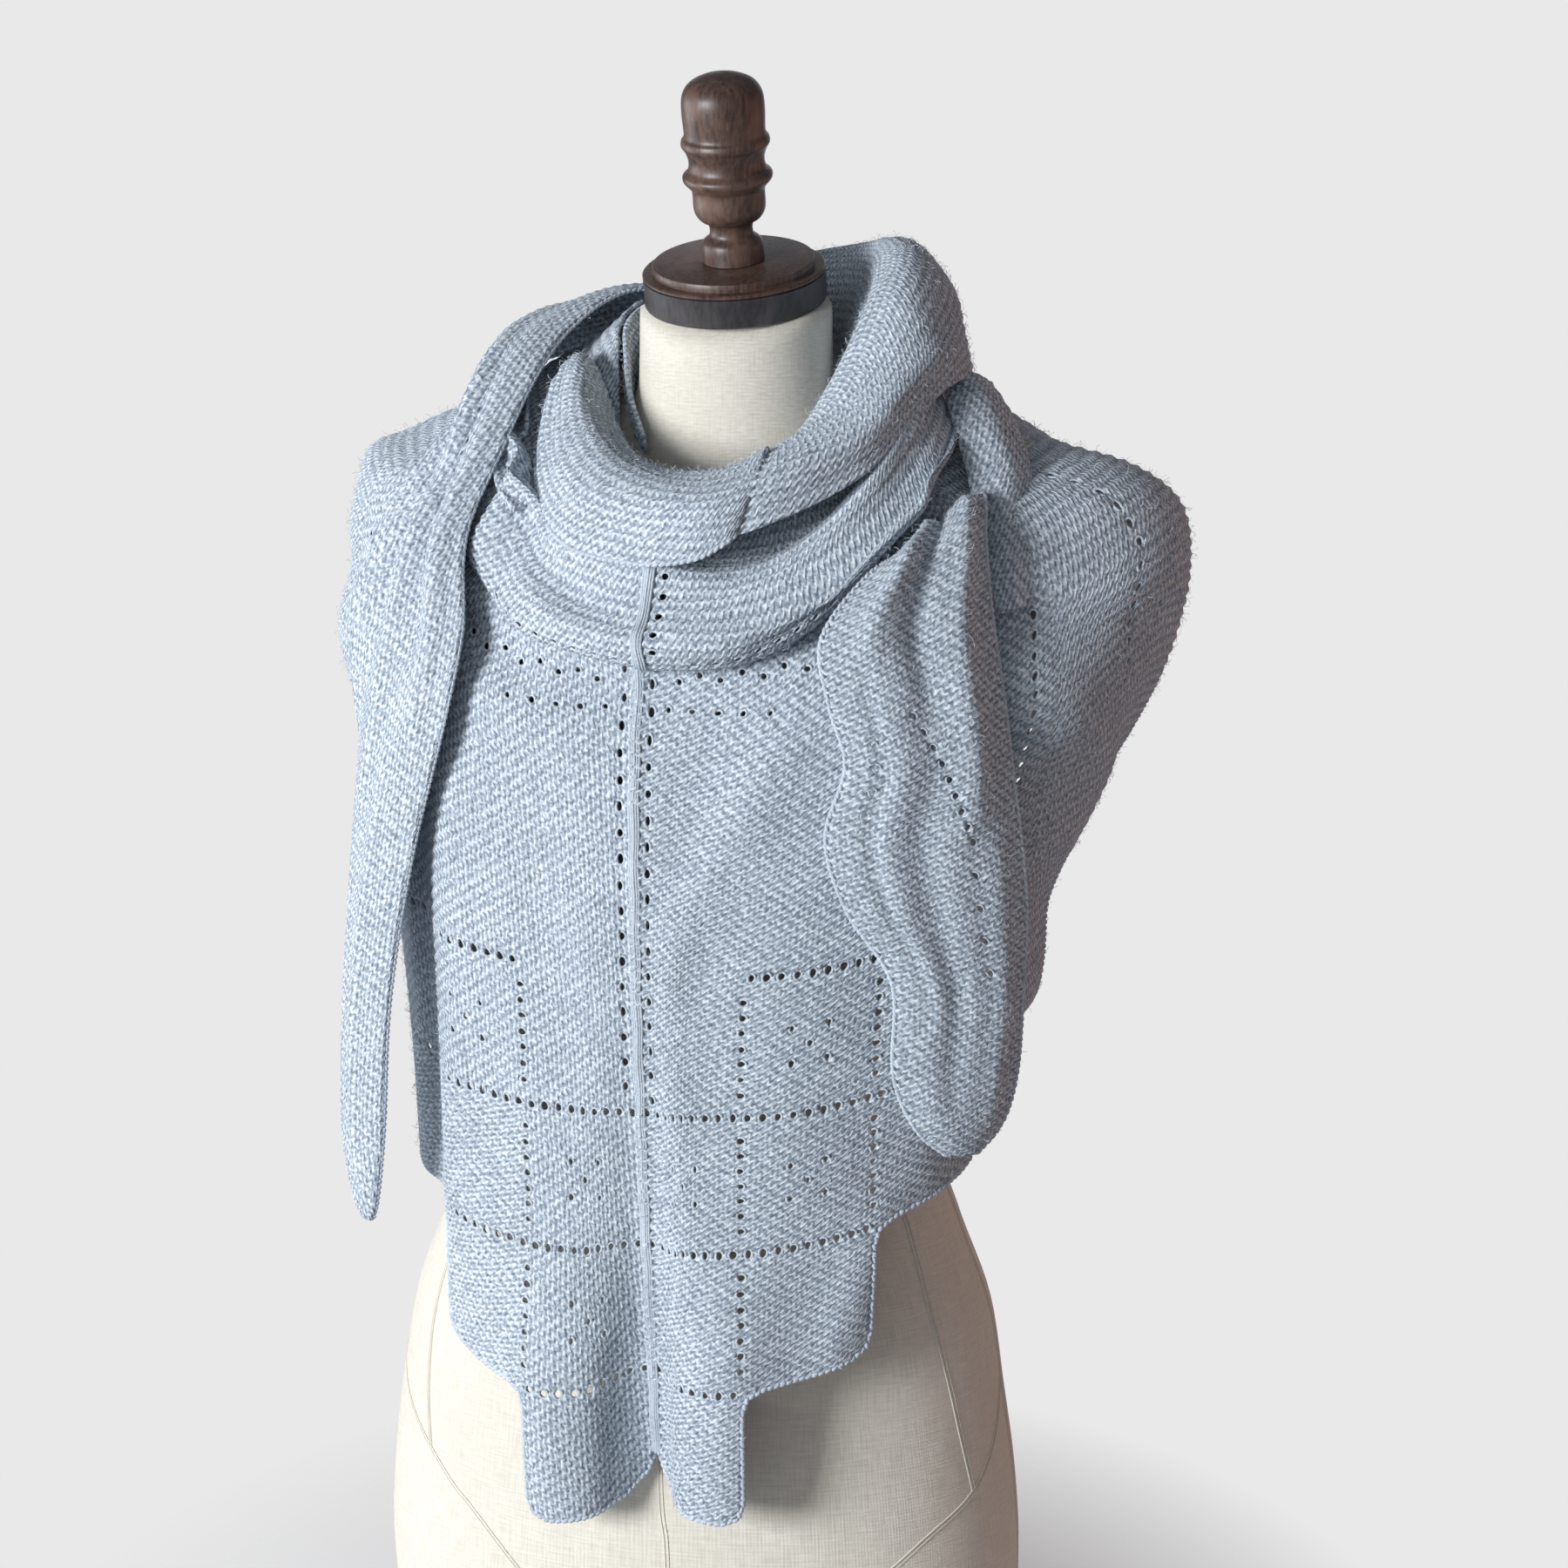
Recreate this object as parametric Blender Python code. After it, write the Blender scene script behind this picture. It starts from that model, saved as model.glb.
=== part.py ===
# Knitted triangular shawl worn round a limbless dress form
#
# World frame in metres: the form faces -Y, +Z is up, the origin is on the flat
# underside of the form, where it stands, 13 mm right of its middle.
# The shawl hangs as one point in front, its two ends cross at the nape and come
# forward again over the shoulders as tails.

import math

import bmesh
import bpy
import numpy as np
from mathutils.geometry import delaunay_2d_cdt

# Driving sizes of the shawl

WALL = 0.002
SEAM_GAP = 0.0004
SQUARE = 0.068
ROW = 0.072
HEM_TIP = 0.181
DRAPE_TOP = 0.685
PANEL_TOP = 0.649
PANEL_COLUMNS = 3
EYELETS_A_SIDE = 9
EYELET_HALF = 0.0029
SPINE_EYELET_PITCH = 0.0130
SPINE_EYELET_SIDE = 0.0072
SPINE_EYELET_ROWS = 17
SPINE_X = -0.007
GATHER_LEVEL = 0.600

# Driving sizes of the form, its cap and its finial

BASE_HEIGHT = 0.018
BASE_HALF_WIDTH = 0.157
BASE_HALF_DEPTH = 0.096
NECK_X = 0.009
NECK_TOP = 0.785
NECK_TILT = math.radians(15.0)
CAP_RADIUS = 0.0464
CAP_HEIGHT = 0.018
CAP_STEP_RADIUS = 0.0412
CAP_STEP_HEIGHT = 0.004
FINIAL_LENGTH = 0.0940

# Rings of the form: height in front, at the side and behind, half width,
# depth in front and behind, sideways place of the middle
FORM_RINGS = [
    # z_front, z_side, z_back, half_width, front, back, middle_x
    (0.0184, 0.0184, 0.0184, 0.162, 0.101, 0.099, -0.013),
    (0.0500, 0.0500, 0.0500, 0.174, 0.110, 0.110, -0.013),
    (0.1000, 0.1000, 0.1000, 0.178, 0.113, 0.118, -0.013),
    (0.1500, 0.1500, 0.1500, 0.175, 0.111, 0.120, -0.013),
    (0.2000, 0.2000, 0.2000, 0.168, 0.106, 0.115, -0.013),
    (0.2500, 0.2500, 0.2500, 0.159, 0.099, 0.106, -0.012),
    (0.3000, 0.3000, 0.3000, 0.140, 0.091, 0.091, -0.011),
    (0.3500, 0.3500, 0.3500, 0.124, 0.088, 0.081, -0.009),
    (0.4200, 0.4200, 0.4200, 0.132, 0.104, 0.088, -0.006),
    (0.4650, 0.4700, 0.4700, 0.144, 0.124, 0.097, -0.004),
    (0.5050, 0.5150, 0.5200, 0.152, 0.134, 0.105, -0.002),
    (0.5450, 0.5650, 0.5700, 0.160, 0.127, 0.110, 0.001),
    (0.5850, 0.6150, 0.6200, 0.176, 0.114, 0.112, 0.004),
    (0.6150, 0.6720, 0.6700, 0.187, 0.103, 0.107, 0.008),
    (0.6350, 0.7030, 0.6980, 0.179, 0.092, 0.095, 0.0095),
    (0.6500, 0.7208, 0.7160, 0.151, 0.082, 0.082, 0.0115),
    (0.6600, 0.7270, 0.7290, 0.112, 0.072, 0.068, 0.009),
    (0.6720, 0.7320, 0.7390, 0.078, 0.060, 0.056, 0.009),
    (0.6860, 0.7380, 0.7480, 0.056, 0.050, 0.050, 0.009),
    (0.7160, 0.7460, 0.7620, 0.0500, 0.0475, 0.0480, 0.009),
    (0.7697, 0.7825, 0.7945, 0.0485, 0.0468, 0.0468, 0.009),
]

# Outline of the turned finial: share of the length, radius
FINIAL_OUTLINE = [
    (0.00, 0.0158), (0.10, 0.0150), (0.14, 0.0112), (0.20, 0.0114),
    (0.23, 0.0155), (0.28, 0.0180), (0.38, 0.0183), (0.41, 0.0200),
    (0.44, 0.0223), (0.47, 0.0223), (0.50, 0.0196), (0.55, 0.0190),
    (0.60, 0.0205), (0.63, 0.0222), (0.66, 0.0218), (0.69, 0.0203),
    (0.80, 0.0207), (0.89, 0.0200), (0.95, 0.0165), (0.985, 0.0100),
]

# Levels of the part of the shawl that hangs from the shoulders, from the hem up.
# The level is the height in front; the rises are added toward the sides and back.
DRAPE_LEVELS = [
    # level, rise_right, rise_left, rise_back, right, left, front, back, shift, fullness
    (0.165, 0.050, 0.012, 0.010, 0.160, 0.150, 0.137, 0.130, -0.007, 2.25),
    (0.250, 0.055, 0.020, 0.012, 0.165, 0.152, 0.140, 0.132, -0.007, 2.25),
    (0.325, 0.042, 0.020, 0.015, 0.168, 0.155, 0.142, 0.134, -0.007, 2.25),
    (0.400, 0.038, 0.016, 0.020, 0.176, 0.160, 0.144, 0.136, -0.005, 2.25),
    (0.470, 0.046, 0.030, 0.040, 0.190, 0.172, 0.1455, 0.138, -0.002, 2.20),
    (0.510, 0.060, 0.056, 0.055, 0.208, 0.188, 0.1455, 0.138, 0.003, 2.15),
    (0.550, 0.075, 0.074, 0.065, 0.225, 0.204, 0.1440, 0.136, 0.008, 2.10),
    (0.585, 0.083, 0.083, 0.078, 0.231, 0.208, 0.1400, 0.130, 0.010, 2.00),
    (0.615, 0.084, 0.082, 0.085, 0.214, 0.198, 0.1310, 0.118, 0.010, 1.85),
    (0.640, 0.077, 0.074, 0.088, 0.184, 0.176, 0.1230, 0.102, 0.009, 1.80),
    (0.662, 0.066, 0.064, 0.087, 0.146, 0.142, 0.1160, 0.085, 0.009, 1.85),
    (0.685, 0.052, 0.052, 0.078, 0.108, 0.106, 0.1080, 0.070, 0.009, 2.00),
]

# Depth of the crease down the middle and the width it takes on each side
CREASE_LEVELS = [
    # level, depth, taken_left, taken_right, drop_left
    (0.165, 0.026, 0.0080, 0.0170, 0.009),
    (0.260, 0.019, 0.0080, 0.0170, 0.008),
    (0.340, 0.010, 0.0070, 0.0170, 0.004),
    (0.430, 0.004, 0.0060, 0.0160, 0.000),
    (0.520, 0.001, 0.0040, 0.0110, 0.000),
    (0.600, 0.000, 0.0010, 0.0030, 0.000),
    (0.700, 0.000, 0.0000, 0.0000, 0.000),
]

# Second fold of the cowl, between the turned-out edge and the deep crease:
# angle round the neck from the front, then radius and height of its top,
# its bulge and its foot
COWL_FOLD = [
    # angle, top_r, top_z, bulge_r, bulge_z, foot_z
    (-47.0, 0.107, 0.686, 0.129, 0.680, 0.662),
    (-34.0, 0.110, 0.680, 0.146, 0.660, 0.634),
    (-17.0, 0.112, 0.673, 0.148, 0.649, 0.624),
    (0.0, 0.114, 0.672, 0.149, 0.645, 0.619),
    (16.0, 0.115, 0.676, 0.151, 0.648, 0.624),
    (30.0, 0.116, 0.686, 0.155, 0.664, 0.643),
    (42.0, 0.116, 0.698, 0.156, 0.690, 0.676),
    (54.0, 0.114, 0.716, 0.152, 0.716, 0.705),
    (57.0, 0.114, 0.724, 0.150, 0.722, 0.709),
]

# Selvedge turned outward at the front of the neck, from the tip of its left
# lobe to the slanting edge right of the middle
COWL_FLAP = [
    # angle, lean, inner_r, inner_z, rim_r, rim_z, brow_r, brow_z, out_r, out_z, low_r, low_z
    (-74.0, 0.0, 0.0690, 0.748, 0.0740, 0.757, 0.0790, 0.760, 0.0850, 0.757, 0.0870, 0.748),
    (-64.0, 0.0, 0.0640, 0.734, 0.0715, 0.748, 0.0830, 0.756, 0.0950, 0.746, 0.1000, 0.726),
    (-52.0, 0.0, 0.0630, 0.722, 0.0735, 0.734, 0.0880, 0.742, 0.1040, 0.725, 0.1110, 0.703),
    (-38.0, 0.0, 0.0630, 0.710, 0.0760, 0.723, 0.0930, 0.728, 0.1150, 0.712, 0.1230, 0.688),
    (-22.0, 0.0, 0.0625, 0.701, 0.0795, 0.712, 0.0990, 0.717, 0.1280, 0.701, 0.1370, 0.676),
    (-6.0, 0.0, 0.0630, 0.694, 0.0820, 0.706, 0.1050, 0.711, 0.1340, 0.698, 0.1420, 0.672),
    (8.0, -1.5, 0.0640, 0.694, 0.0840, 0.705, 0.1080, 0.711, 0.1380, 0.700, 0.1460, 0.674),
    (18.0, -3.0, 0.0650, 0.698, 0.0840, 0.707, 0.1060, 0.714, 0.1340, 0.707, 0.1430, 0.684),
]

# Band that climbs from the right of the flap round the neck to the nape
BAND_RIGHT = [
    # angle, lean, inner_r, inner_z, rim_r, rim_z, crown_r, crown_z, out_r, out_z, low_r, low_z
    (19.2, -3.0, 0.0650, 0.698, 0.0840, 0.707, 0.1060, 0.714, 0.1340, 0.707, 0.1425, 0.685),
    (27.0, -2.0, 0.0640, 0.705, 0.0810, 0.714, 0.1030, 0.723, 0.1320, 0.713, 0.1390, 0.690),
    (40.0, 0.0, 0.0620, 0.714, 0.0740, 0.725, 0.0990, 0.739, 0.1290, 0.729, 0.1350, 0.711),
    (55.0, 0.0, 0.0600, 0.725, 0.0680, 0.740, 0.0950, 0.764, 0.1230, 0.753, 0.1280, 0.734),
    (72.0, 0.0, 0.0580, 0.737, 0.0630, 0.757, 0.0890, 0.790, 0.1190, 0.774, 0.1260, 0.750),
    (90.0, 0.0, 0.0570, 0.749, 0.0610, 0.774, 0.0830, 0.807, 0.1140, 0.786, 0.1230, 0.752),
    (110.0, 0.0, 0.0580, 0.752, 0.0620, 0.787, 0.0770, 0.814, 0.1010, 0.798, 0.1140, 0.750),
    (135.0, 0.0, 0.0610, 0.758, 0.0650, 0.790, 0.0750, 0.812, 0.0920, 0.798, 0.1040, 0.757),
    (165.0, 0.0, 0.0640, 0.762, 0.0660, 0.788, 0.0750, 0.806, 0.0870, 0.796, 0.0950, 0.766),
    (195.0, 0.0, 0.0640, 0.760, 0.0660, 0.783, 0.0750, 0.799, 0.0870, 0.790, 0.0950, 0.764),
    (210.0, 0.0, 0.0640, 0.758, 0.0660, 0.780, 0.0760, 0.794, 0.0880, 0.785, 0.0960, 0.760),
]

# Band inside the lobe, round the left of the neck to the nape
BAND_LEFT = [
    # angle, lean, low_r, low_z, middle_r, middle_z, top_r, top_z
    (-60.0, 0.0, 0.0570, 0.727, 0.0575, 0.733, 0.0590, 0.739),
    (-76.0, 0.0, 0.0560, 0.741, 0.0600, 0.751, 0.0650, 0.761),
    (-92.0, 0.0, 0.0512, 0.750, 0.0630, 0.761, 0.0740, 0.772),
    (-120.0, 0.0, 0.0510, 0.755, 0.0610, 0.769, 0.0690, 0.782),
    (-150.0, 0.0, 0.0512, 0.760, 0.0570, 0.772, 0.0600, 0.784),
    (-178.0, 0.0, 0.0525, 0.762, 0.0560, 0.771, 0.0590, 0.779),
]

# Left tail from the nape over the shoulder: outer edge, inner edge, fullness
TAIL_LEFT = [
    # outer_x, outer_y, outer_z, inner_x, inner_y, inner_z, fullness
    (-0.046, 0.086, 0.760, -0.026, 0.059, 0.787, 0.012),
    (-0.080, 0.062, 0.756, -0.058, 0.031, 0.786, 0.013),
    (-0.109, 0.026, 0.748, -0.076, -0.004, 0.771, 0.014),
    (-0.122, -0.014, 0.730, -0.086, -0.038, 0.748, 0.014),
    (-0.136, -0.044, 0.694, -0.094, -0.070, 0.715, 0.013),
    (-0.149, -0.066, 0.652, -0.103, -0.102, 0.675, 0.013),
    (-0.161, -0.080, 0.610, -0.096, -0.130, 0.634, 0.012),
    (-0.166, -0.088, 0.566, -0.104, -0.139, 0.588, 0.011),
    (-0.172, -0.090, 0.500, -0.126, -0.130, 0.516, 0.010),
    (-0.178, -0.090, 0.430, -0.142, -0.124, 0.440, 0.009),
    (-0.181, -0.092, 0.365, -0.148, -0.122, 0.372, 0.007),
    (-0.174, -0.100, 0.330, -0.155, -0.116, 0.331, 0.004),
    (-0.167, -0.106, 0.317, -0.160, -0.111, 0.317, 0.001),
]

# Right tail from under the band over the chest: outer edge, inner edge, fullness
TAIL_RIGHT = [
    # outer_x, outer_y, outer_z, inner_x, inner_y, inner_z, fullness
    (0.147, -0.065, 0.708, 0.123, -0.096, 0.687, 0.003),
    (0.151, -0.077, 0.696, 0.114, -0.112, 0.676, 0.005),
    (0.153, -0.088, 0.681, 0.103, -0.131, 0.668, 0.009),
    (0.159, -0.100, 0.645, 0.086, -0.149, 0.641, 0.011),
    (0.167, -0.110, 0.607, 0.091, -0.154, 0.610, 0.012),
    (0.172, -0.114, 0.575, 0.099, -0.155, 0.582, 0.012),
    (0.177, -0.115, 0.540, 0.090, -0.157, 0.547, 0.011),
    (0.180, -0.114, 0.505, 0.100, -0.155, 0.512, 0.011),
    (0.179, -0.113, 0.465, 0.121, -0.149, 0.476, 0.010),
    (0.177, -0.114, 0.425, 0.122, -0.149, 0.430, 0.009),
    (0.171, -0.119, 0.400, 0.133, -0.146, 0.402, 0.007),
    (0.160, -0.128, 0.386, 0.147, -0.138, 0.387, 0.002),
]


# General helpers

def clear_scene():
    for item in list(bpy.data.objects):
        bpy.data.objects.remove(item, do_unlink=True)
    for item in list(bpy.data.meshes):
        bpy.data.meshes.remove(item)


def make_material(name, color, roughness):
    material = bpy.data.materials.new(name)
    material.use_nodes = True
    shader = material.node_tree.nodes["Principled BSDF"]
    shader.inputs["Base Color"].default_value = (color[0], color[1], color[2], 1.0)
    shader.inputs["Roughness"].default_value = roughness
    material.diffuse_color = (color[0], color[1], color[2], 1.0)
    return material


def finish_object(name, verts, faces, material, smooth=True):
    mesh = bpy.data.meshes.new(name)
    mesh.from_pydata([tuple(map(float, v)) for v in verts], [], [tuple(f) for f in faces])
    shape = bmesh.new()
    shape.from_mesh(mesh)
    bmesh.ops.recalc_face_normals(shape, faces=shape.faces)
    shape.to_mesh(mesh)
    shape.free()
    if smooth:
        mesh.polygons.foreach_set("use_smooth", [True] * len(mesh.polygons))
    mesh.update()
    mesh.materials.append(material)
    item = bpy.data.objects.new(name, mesh)
    bpy.context.scene.collection.objects.link(item)
    return item


def table_at(rows, key):
    """Columns of a table at a key of its first column, smooth between the rows."""
    rows = np.asarray(rows, float)
    k = int(np.clip(np.searchsorted(rows[:, 0], key) - 1, 0, len(rows) - 2))
    here, there = rows[k], rows[k + 1]
    before, after = rows[max(k - 1, 0)], rows[min(k + 2, len(rows) - 1)]
    step = there[0] - here[0]
    t = float(np.clip((key - here[0]) / step, 0.0, 1.0))
    leave = (there - before) / (there[0] - before[0]) * step
    arrive = (after - here) / (after[0] - here[0]) * step
    return ((2 * t**3 - 3 * t**2 + 1) * here + (t**3 - 2 * t**2 + t) * leave
            + (3 * t**2 - 2 * t**3) * there + (t**3 - t**2) * arrive)


def smooth_run(points, count):
    """Points spaced evenly by row number on a smooth curve through the rows."""
    points = np.asarray(points, float)
    number = np.arange(len(points), dtype=float)
    flat = points.reshape(len(points), -1)
    rows = np.column_stack([number, flat])
    at = np.linspace(0.0, len(points) - 1.0, count)
    return np.array([table_at(rows, a)[1:] for a in at]).reshape((count,) + points.shape[1:])


def polar(angle, radius, height):
    a = math.radians(angle)
    return np.array([NECK_X + radius * math.sin(a), -radius * math.cos(a), height])


# The hanging part of the shawl

def drape_ring(level, side):
    """Half ring of the drape at a level: angles, points and lengths from the front."""
    row = table_at(DRAPE_LEVELS, level)
    rise_side = row[1] if side > 0 else row[2]
    wide = row[4] if side > 0 else row[5]
    turn = np.linspace(0.0, math.pi, 121)
    s, c = np.sin(turn), np.cos(turn)
    power = 2.0 / row[9]
    middle = np.where(c > 0, SPINE_X * c**2 + row[8] * s**2, row[8])
    x = side * wide * s**power + middle
    y = np.where(c > 0, -row[6] * np.abs(c)**power, row[7] * np.abs(c)**power)
    back = row[3] * (c < 0) * c**2
    z = level + rise_side * np.abs(s)**2.5 + back
    points = np.column_stack([x, y, z])
    step = np.linalg.norm(np.diff(points, axis=0), axis=1)
    return points, np.concatenate([[0.0], np.cumsum(step)])


def half_round(side):
    """Distance round one side, from the middle of the front to that of the back."""
    return drape_ring(GATHER_LEVEL, side)[1][-1]


def drape_point(across, level, lift=0.0):
    """Point of the drape at a distance from the middle of the front, on a level.
    Above the gather level the cloth is drawn together toward the neck."""
    side = 1.0 if across >= 0 else -1.0
    crease = table_at(CREASE_LEVELS, level)
    away = abs(across)
    valley = math.exp(-(away / 0.021)**2)
    beside = 1.0 - math.exp(-(away / 0.030)**2)
    away = away - crease[3 if side > 0 else 2] * beside
    points, length = drape_ring(level, side)
    if level > GATHER_LEVEL:
        away *= length[-1] / half_round(side)
    p = np.array([np.interp(away, length, points[:, i]) for i in range(3)])
    p[1] += crease[1] * valley
    if side < 0:
        p[2] -= crease[4] * beside
    if lift:
        out = np.array([p[0], p[1], 0.0])
        p = p + out / np.linalg.norm(out) * lift
    return p


def drape_profile(angle):
    """Radius and height of the drape down one angle round the neck, top first."""
    side = 1.0 if angle >= 0 else -1.0
    found = []
    top = DRAPE_TOP if abs(angle) > 52.0 else PANEL_TOP
    for level in np.linspace(top, 0.30, 78):
        points, _ = drape_ring(level, side)
        around = np.degrees(np.arctan2(points[:, 0] - NECK_X, -points[:, 1]))
        radius = np.hypot(points[:, 0] - NECK_X, points[:, 1])
        order = np.argsort(around)
        found.append((np.interp(angle, around[order], radius[order]),
                      np.interp(angle, around[order], points[order, 2])))
    return np.array(found)


PROFILES = {}


def seated(point, gap, press=0.0):
    """Point moved out, where it has to be, to lie at least a gap over the drape.
    A press from 0 to 1 also draws a point that lies further out toward that gap."""
    angle = math.degrees(math.atan2(point[0] - NECK_X, -point[1]))
    if abs(angle) > 150.0:
        return point
    key = int(round(angle / 2.0)) * 2
    if key not in PROFILES:
        PROFILES[key] = drape_profile(key)
    line = PROFILES[key]
    at = np.array([math.hypot(point[0] - NECK_X, point[1]), point[2]])
    a, b = line[:-1], line[1:]
    way = b - a
    t = np.clip(np.sum((at - a) * way, axis=1) / np.maximum(np.sum(way * way, axis=1), 1e-12), 0, 1)
    near = a + way * t[:, None]
    away = np.linalg.norm(near - at, axis=1)
    k = int(np.argmin(away))
    out = np.array([-way[k][1], way[k][0]])
    out /= np.linalg.norm(out)
    signed = float(np.dot(at - near[k], out))
    if abs(signed) < away[k] * 0.5:
        return point
    if signed >= gap and press == 0.0:
        return point
    moved = at + out * (gap - signed) * (press if signed >= gap else 1.0)
    a = math.radians(angle)
    return np.array([NECK_X + moved[0] * math.sin(a), -moved[0] * math.cos(a), moved[1]])


def resample(outline, spacing):
    """Outline with its long edges divided."""
    result = []
    for i, (u0, v0) in enumerate(outline):
        u1, v1 = outline[(i + 1) % len(outline)]
        parts = max(1, int(math.ceil(math.hypot(u1 - u0, v1 - v0) / spacing - 0.01)))
        for k in range(parts):
            result.append((u0 + (u1 - u0) * k / parts, v0 + (v1 - v0) * k / parts))
    return result


def inside(u, v, outline):
    odd = False
    for i in range(len(outline)):
        u0, v0 = outline[i]
        u1, v1 = outline[i - 1]
        if (v0 > v) != (v1 > v) and u < (u1 - u0) * (v - v0) / (v1 - v0) + u0:
            odd = not odd
    return odd


def edge_distance(u, v, outline):
    best = 1.0
    for i in range(len(outline)):
        a = np.array(outline[i])
        b = np.array(outline[i - 1])
        t = float(np.clip(np.dot((u, v) - a, b - a) / max(np.dot(b - a, b - a), 1e-12), 0.0, 1.0))
        best = min(best, float(np.linalg.norm(a + (b - a) * t - (u, v))))
    return best


def cloth_wall(name, outline, holes, spacing, place, material, wall=WALL):
    """Closed wall cut to a flat outline with holes, laid in space by place(u, v)."""
    rim = resample(outline, spacing)
    coords = list(rim)
    edges = [(i, (i + 1) % len(rim)) for i in range(len(rim))]
    for u, v, half_u, half_v in holes:
        start = len(coords)
        coords += [(u + half_u, v), (u, v + half_v), (u - half_u, v), (u, v - half_v)]
        edges += [(start + i, start + (i + 1) % 4) for i in range(4)]
    low = np.min(outline, axis=0)
    high = np.max(outline, axis=0)
    centres = np.array([(h[0], h[1]) for h in holes]) if holes else np.zeros((0, 2))
    for j, v in enumerate(np.arange(low[1] + spacing / 2, high[1], spacing * 0.87)):
        for u in np.arange(low[0] + spacing * (0.25 + 0.5 * (j % 2)), high[0], spacing):
            if not inside(u, v, outline) or edge_distance(u, v, outline) < spacing * 0.4:
                continue
            if len(centres) and np.min(np.hypot(centres[:, 0] - u, centres[:, 1] - v)) < spacing * 0.45:
                continue
            coords.append((u, v))
    found = delaunay_2d_cdt(coords, edges, [], 1, 1e-7)
    flat = [(p[0], p[1]) for p in found[0]]
    triangles = []
    for face in found[2]:
        u = sum(flat[i][0] for i in face) / 3
        v = sum(flat[i][1] for i in face) / 3
        in_hole = any(abs(u - h[0]) / h[2] + abs(v - h[1]) / h[3] < 0.999 for h in holes)
        if not in_hole and inside(u, v, outline):
            triangles.append(tuple(face))
    used = sorted({i for t in triangles for i in t})
    number = {old: new for new, old in enumerate(used)}
    triangles = [tuple(number[i] for i in t) for t in triangles]
    outer, inner = [], []
    for i in used:
        u, v = flat[i]
        p = place(u, v)
        along_u = place(u + 0.001, v) - place(u - 0.001, v)
        along_v = place(u, v + 0.001) - place(u, v - 0.001)
        normal = np.cross(along_u, along_v)
        normal /= np.linalg.norm(normal)
        outer.append(p)
        inner.append(p - normal * wall)
    return close_wall(name, outer, inner, triangles, material)


def close_wall(name, outer, inner, triangles, material):
    """Wall between two skins that share their triangles, closed round each edge."""
    count = len(outer)
    faces = list(triangles) + [(a + count, c + count, b + count) for a, b, c in triangles]
    owners = {}
    for a, b, c in triangles:
        for edge in ((a, b), (b, c), (c, a)):
            owners[edge] = True
    for a, b in owners:
        if (b, a) not in owners:
            faces.append((a, a + count, b + count))
            faces.append((a, b + count, b))
    return finish_object(name, list(outer) + list(inner), faces, material)


def strip_wall(name, net, along, across, material, wall=WALL, seat=0.0, pressed=0):
    """Closed wall on a net of sections, each section a row of points.
    The first few rows can be pressed down on the drape."""
    rows = smooth_run(net, along)
    grid = np.array([smooth_run(row, across) for row in rows])
    if seat:
        for i, row in enumerate(grid):
            press = max(0.0, 1.0 - i / pressed) if pressed else 0.0
            grid[i] = [seated(p, seat, press) for p in row]
    d_along = np.gradient(grid, axis=0)
    d_across = np.gradient(grid, axis=1)
    normal = np.cross(d_along, d_across)
    normal /= np.maximum(np.linalg.norm(normal, axis=2, keepdims=True), 1e-9)
    outer = grid.reshape(-1, 3)
    inner = (grid - normal * wall).reshape(-1, 3)
    triangles = []
    for i in range(along - 1):
        for j in range(across - 1):
            a = i * across + j
            triangles += [(a, a + 1, a + across + 1), (a, a + across + 1, a + across)]
    return close_wall(name, outer, inner, triangles, material)


# Pieces of the shawl

def seam_levels(first):
    """Levels of the points that two neighbouring pieces share along a seam."""
    count = int(round((DRAPE_TOP - first) / (ROW / 4)))
    return [first + ROW / 4 * i for i in range(count + 1)]


def hem_outline(columns_left, columns_right):
    """Stepped hem between the two end corners, from left to right."""
    corners = []
    for k in range(columns_left - 1, -1, -1):
        level = HEM_TIP + ROW * k
        corners += [(-SQUARE * (k + 1), level), (-SQUARE * k, level)]
    for k in range(columns_right):
        level = HEM_TIP + ROW * k
        corners += [(SQUARE * k, level), (SQUARE * (k + 1), level)]
    cleaned = []
    for corner in corners:
        if not cleaned or math.dist(cleaned[-1], corner) > 1e-6:
            cleaned.append(corner)
    return cleaned[1:-1]


def panel_outline():
    """Outline of the front panel: mitred tip at the middle, softened steps."""
    corners = hem_outline(PANEL_COLUMNS, PANEL_COLUMNS)
    side = SQUARE * PANEL_COLUMNS
    foot = HEM_TIP + ROW * (PANEL_COLUMNS - 1)
    whole = [(-side, foot)] + corners + [(side, foot)]
    soft = [(-side, foot)]
    for i in range(1, len(whole) - 1):
        here = np.array(whole[i])
        if abs(here[0]) < 1e-6:
            soft += [(-0.014, HEM_TIP + 0.004), (0.0, HEM_TIP + 0.026), (0.014, HEM_TIP + 0.004)]
            continue
        for other in (whole[i - 1], whole[i + 1]):
            way = np.array(other) - here
            soft.append(tuple(here + way / np.linalg.norm(way) * 0.008))
    soft += [(side, level) for level in seam_levels(foot)]
    soft += [(side * 0.93, 0.676), (side * 0.84, 0.656), (side * 0.70, PANEL_TOP)]
    soft += [(-side * 0.66, PANEL_TOP + 0.008), (-side * 0.82, 0.668), (-side * 0.93, 0.679)]
    soft += [(-side, level) for level in reversed(seam_levels(foot)[1:])]
    return soft


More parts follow.
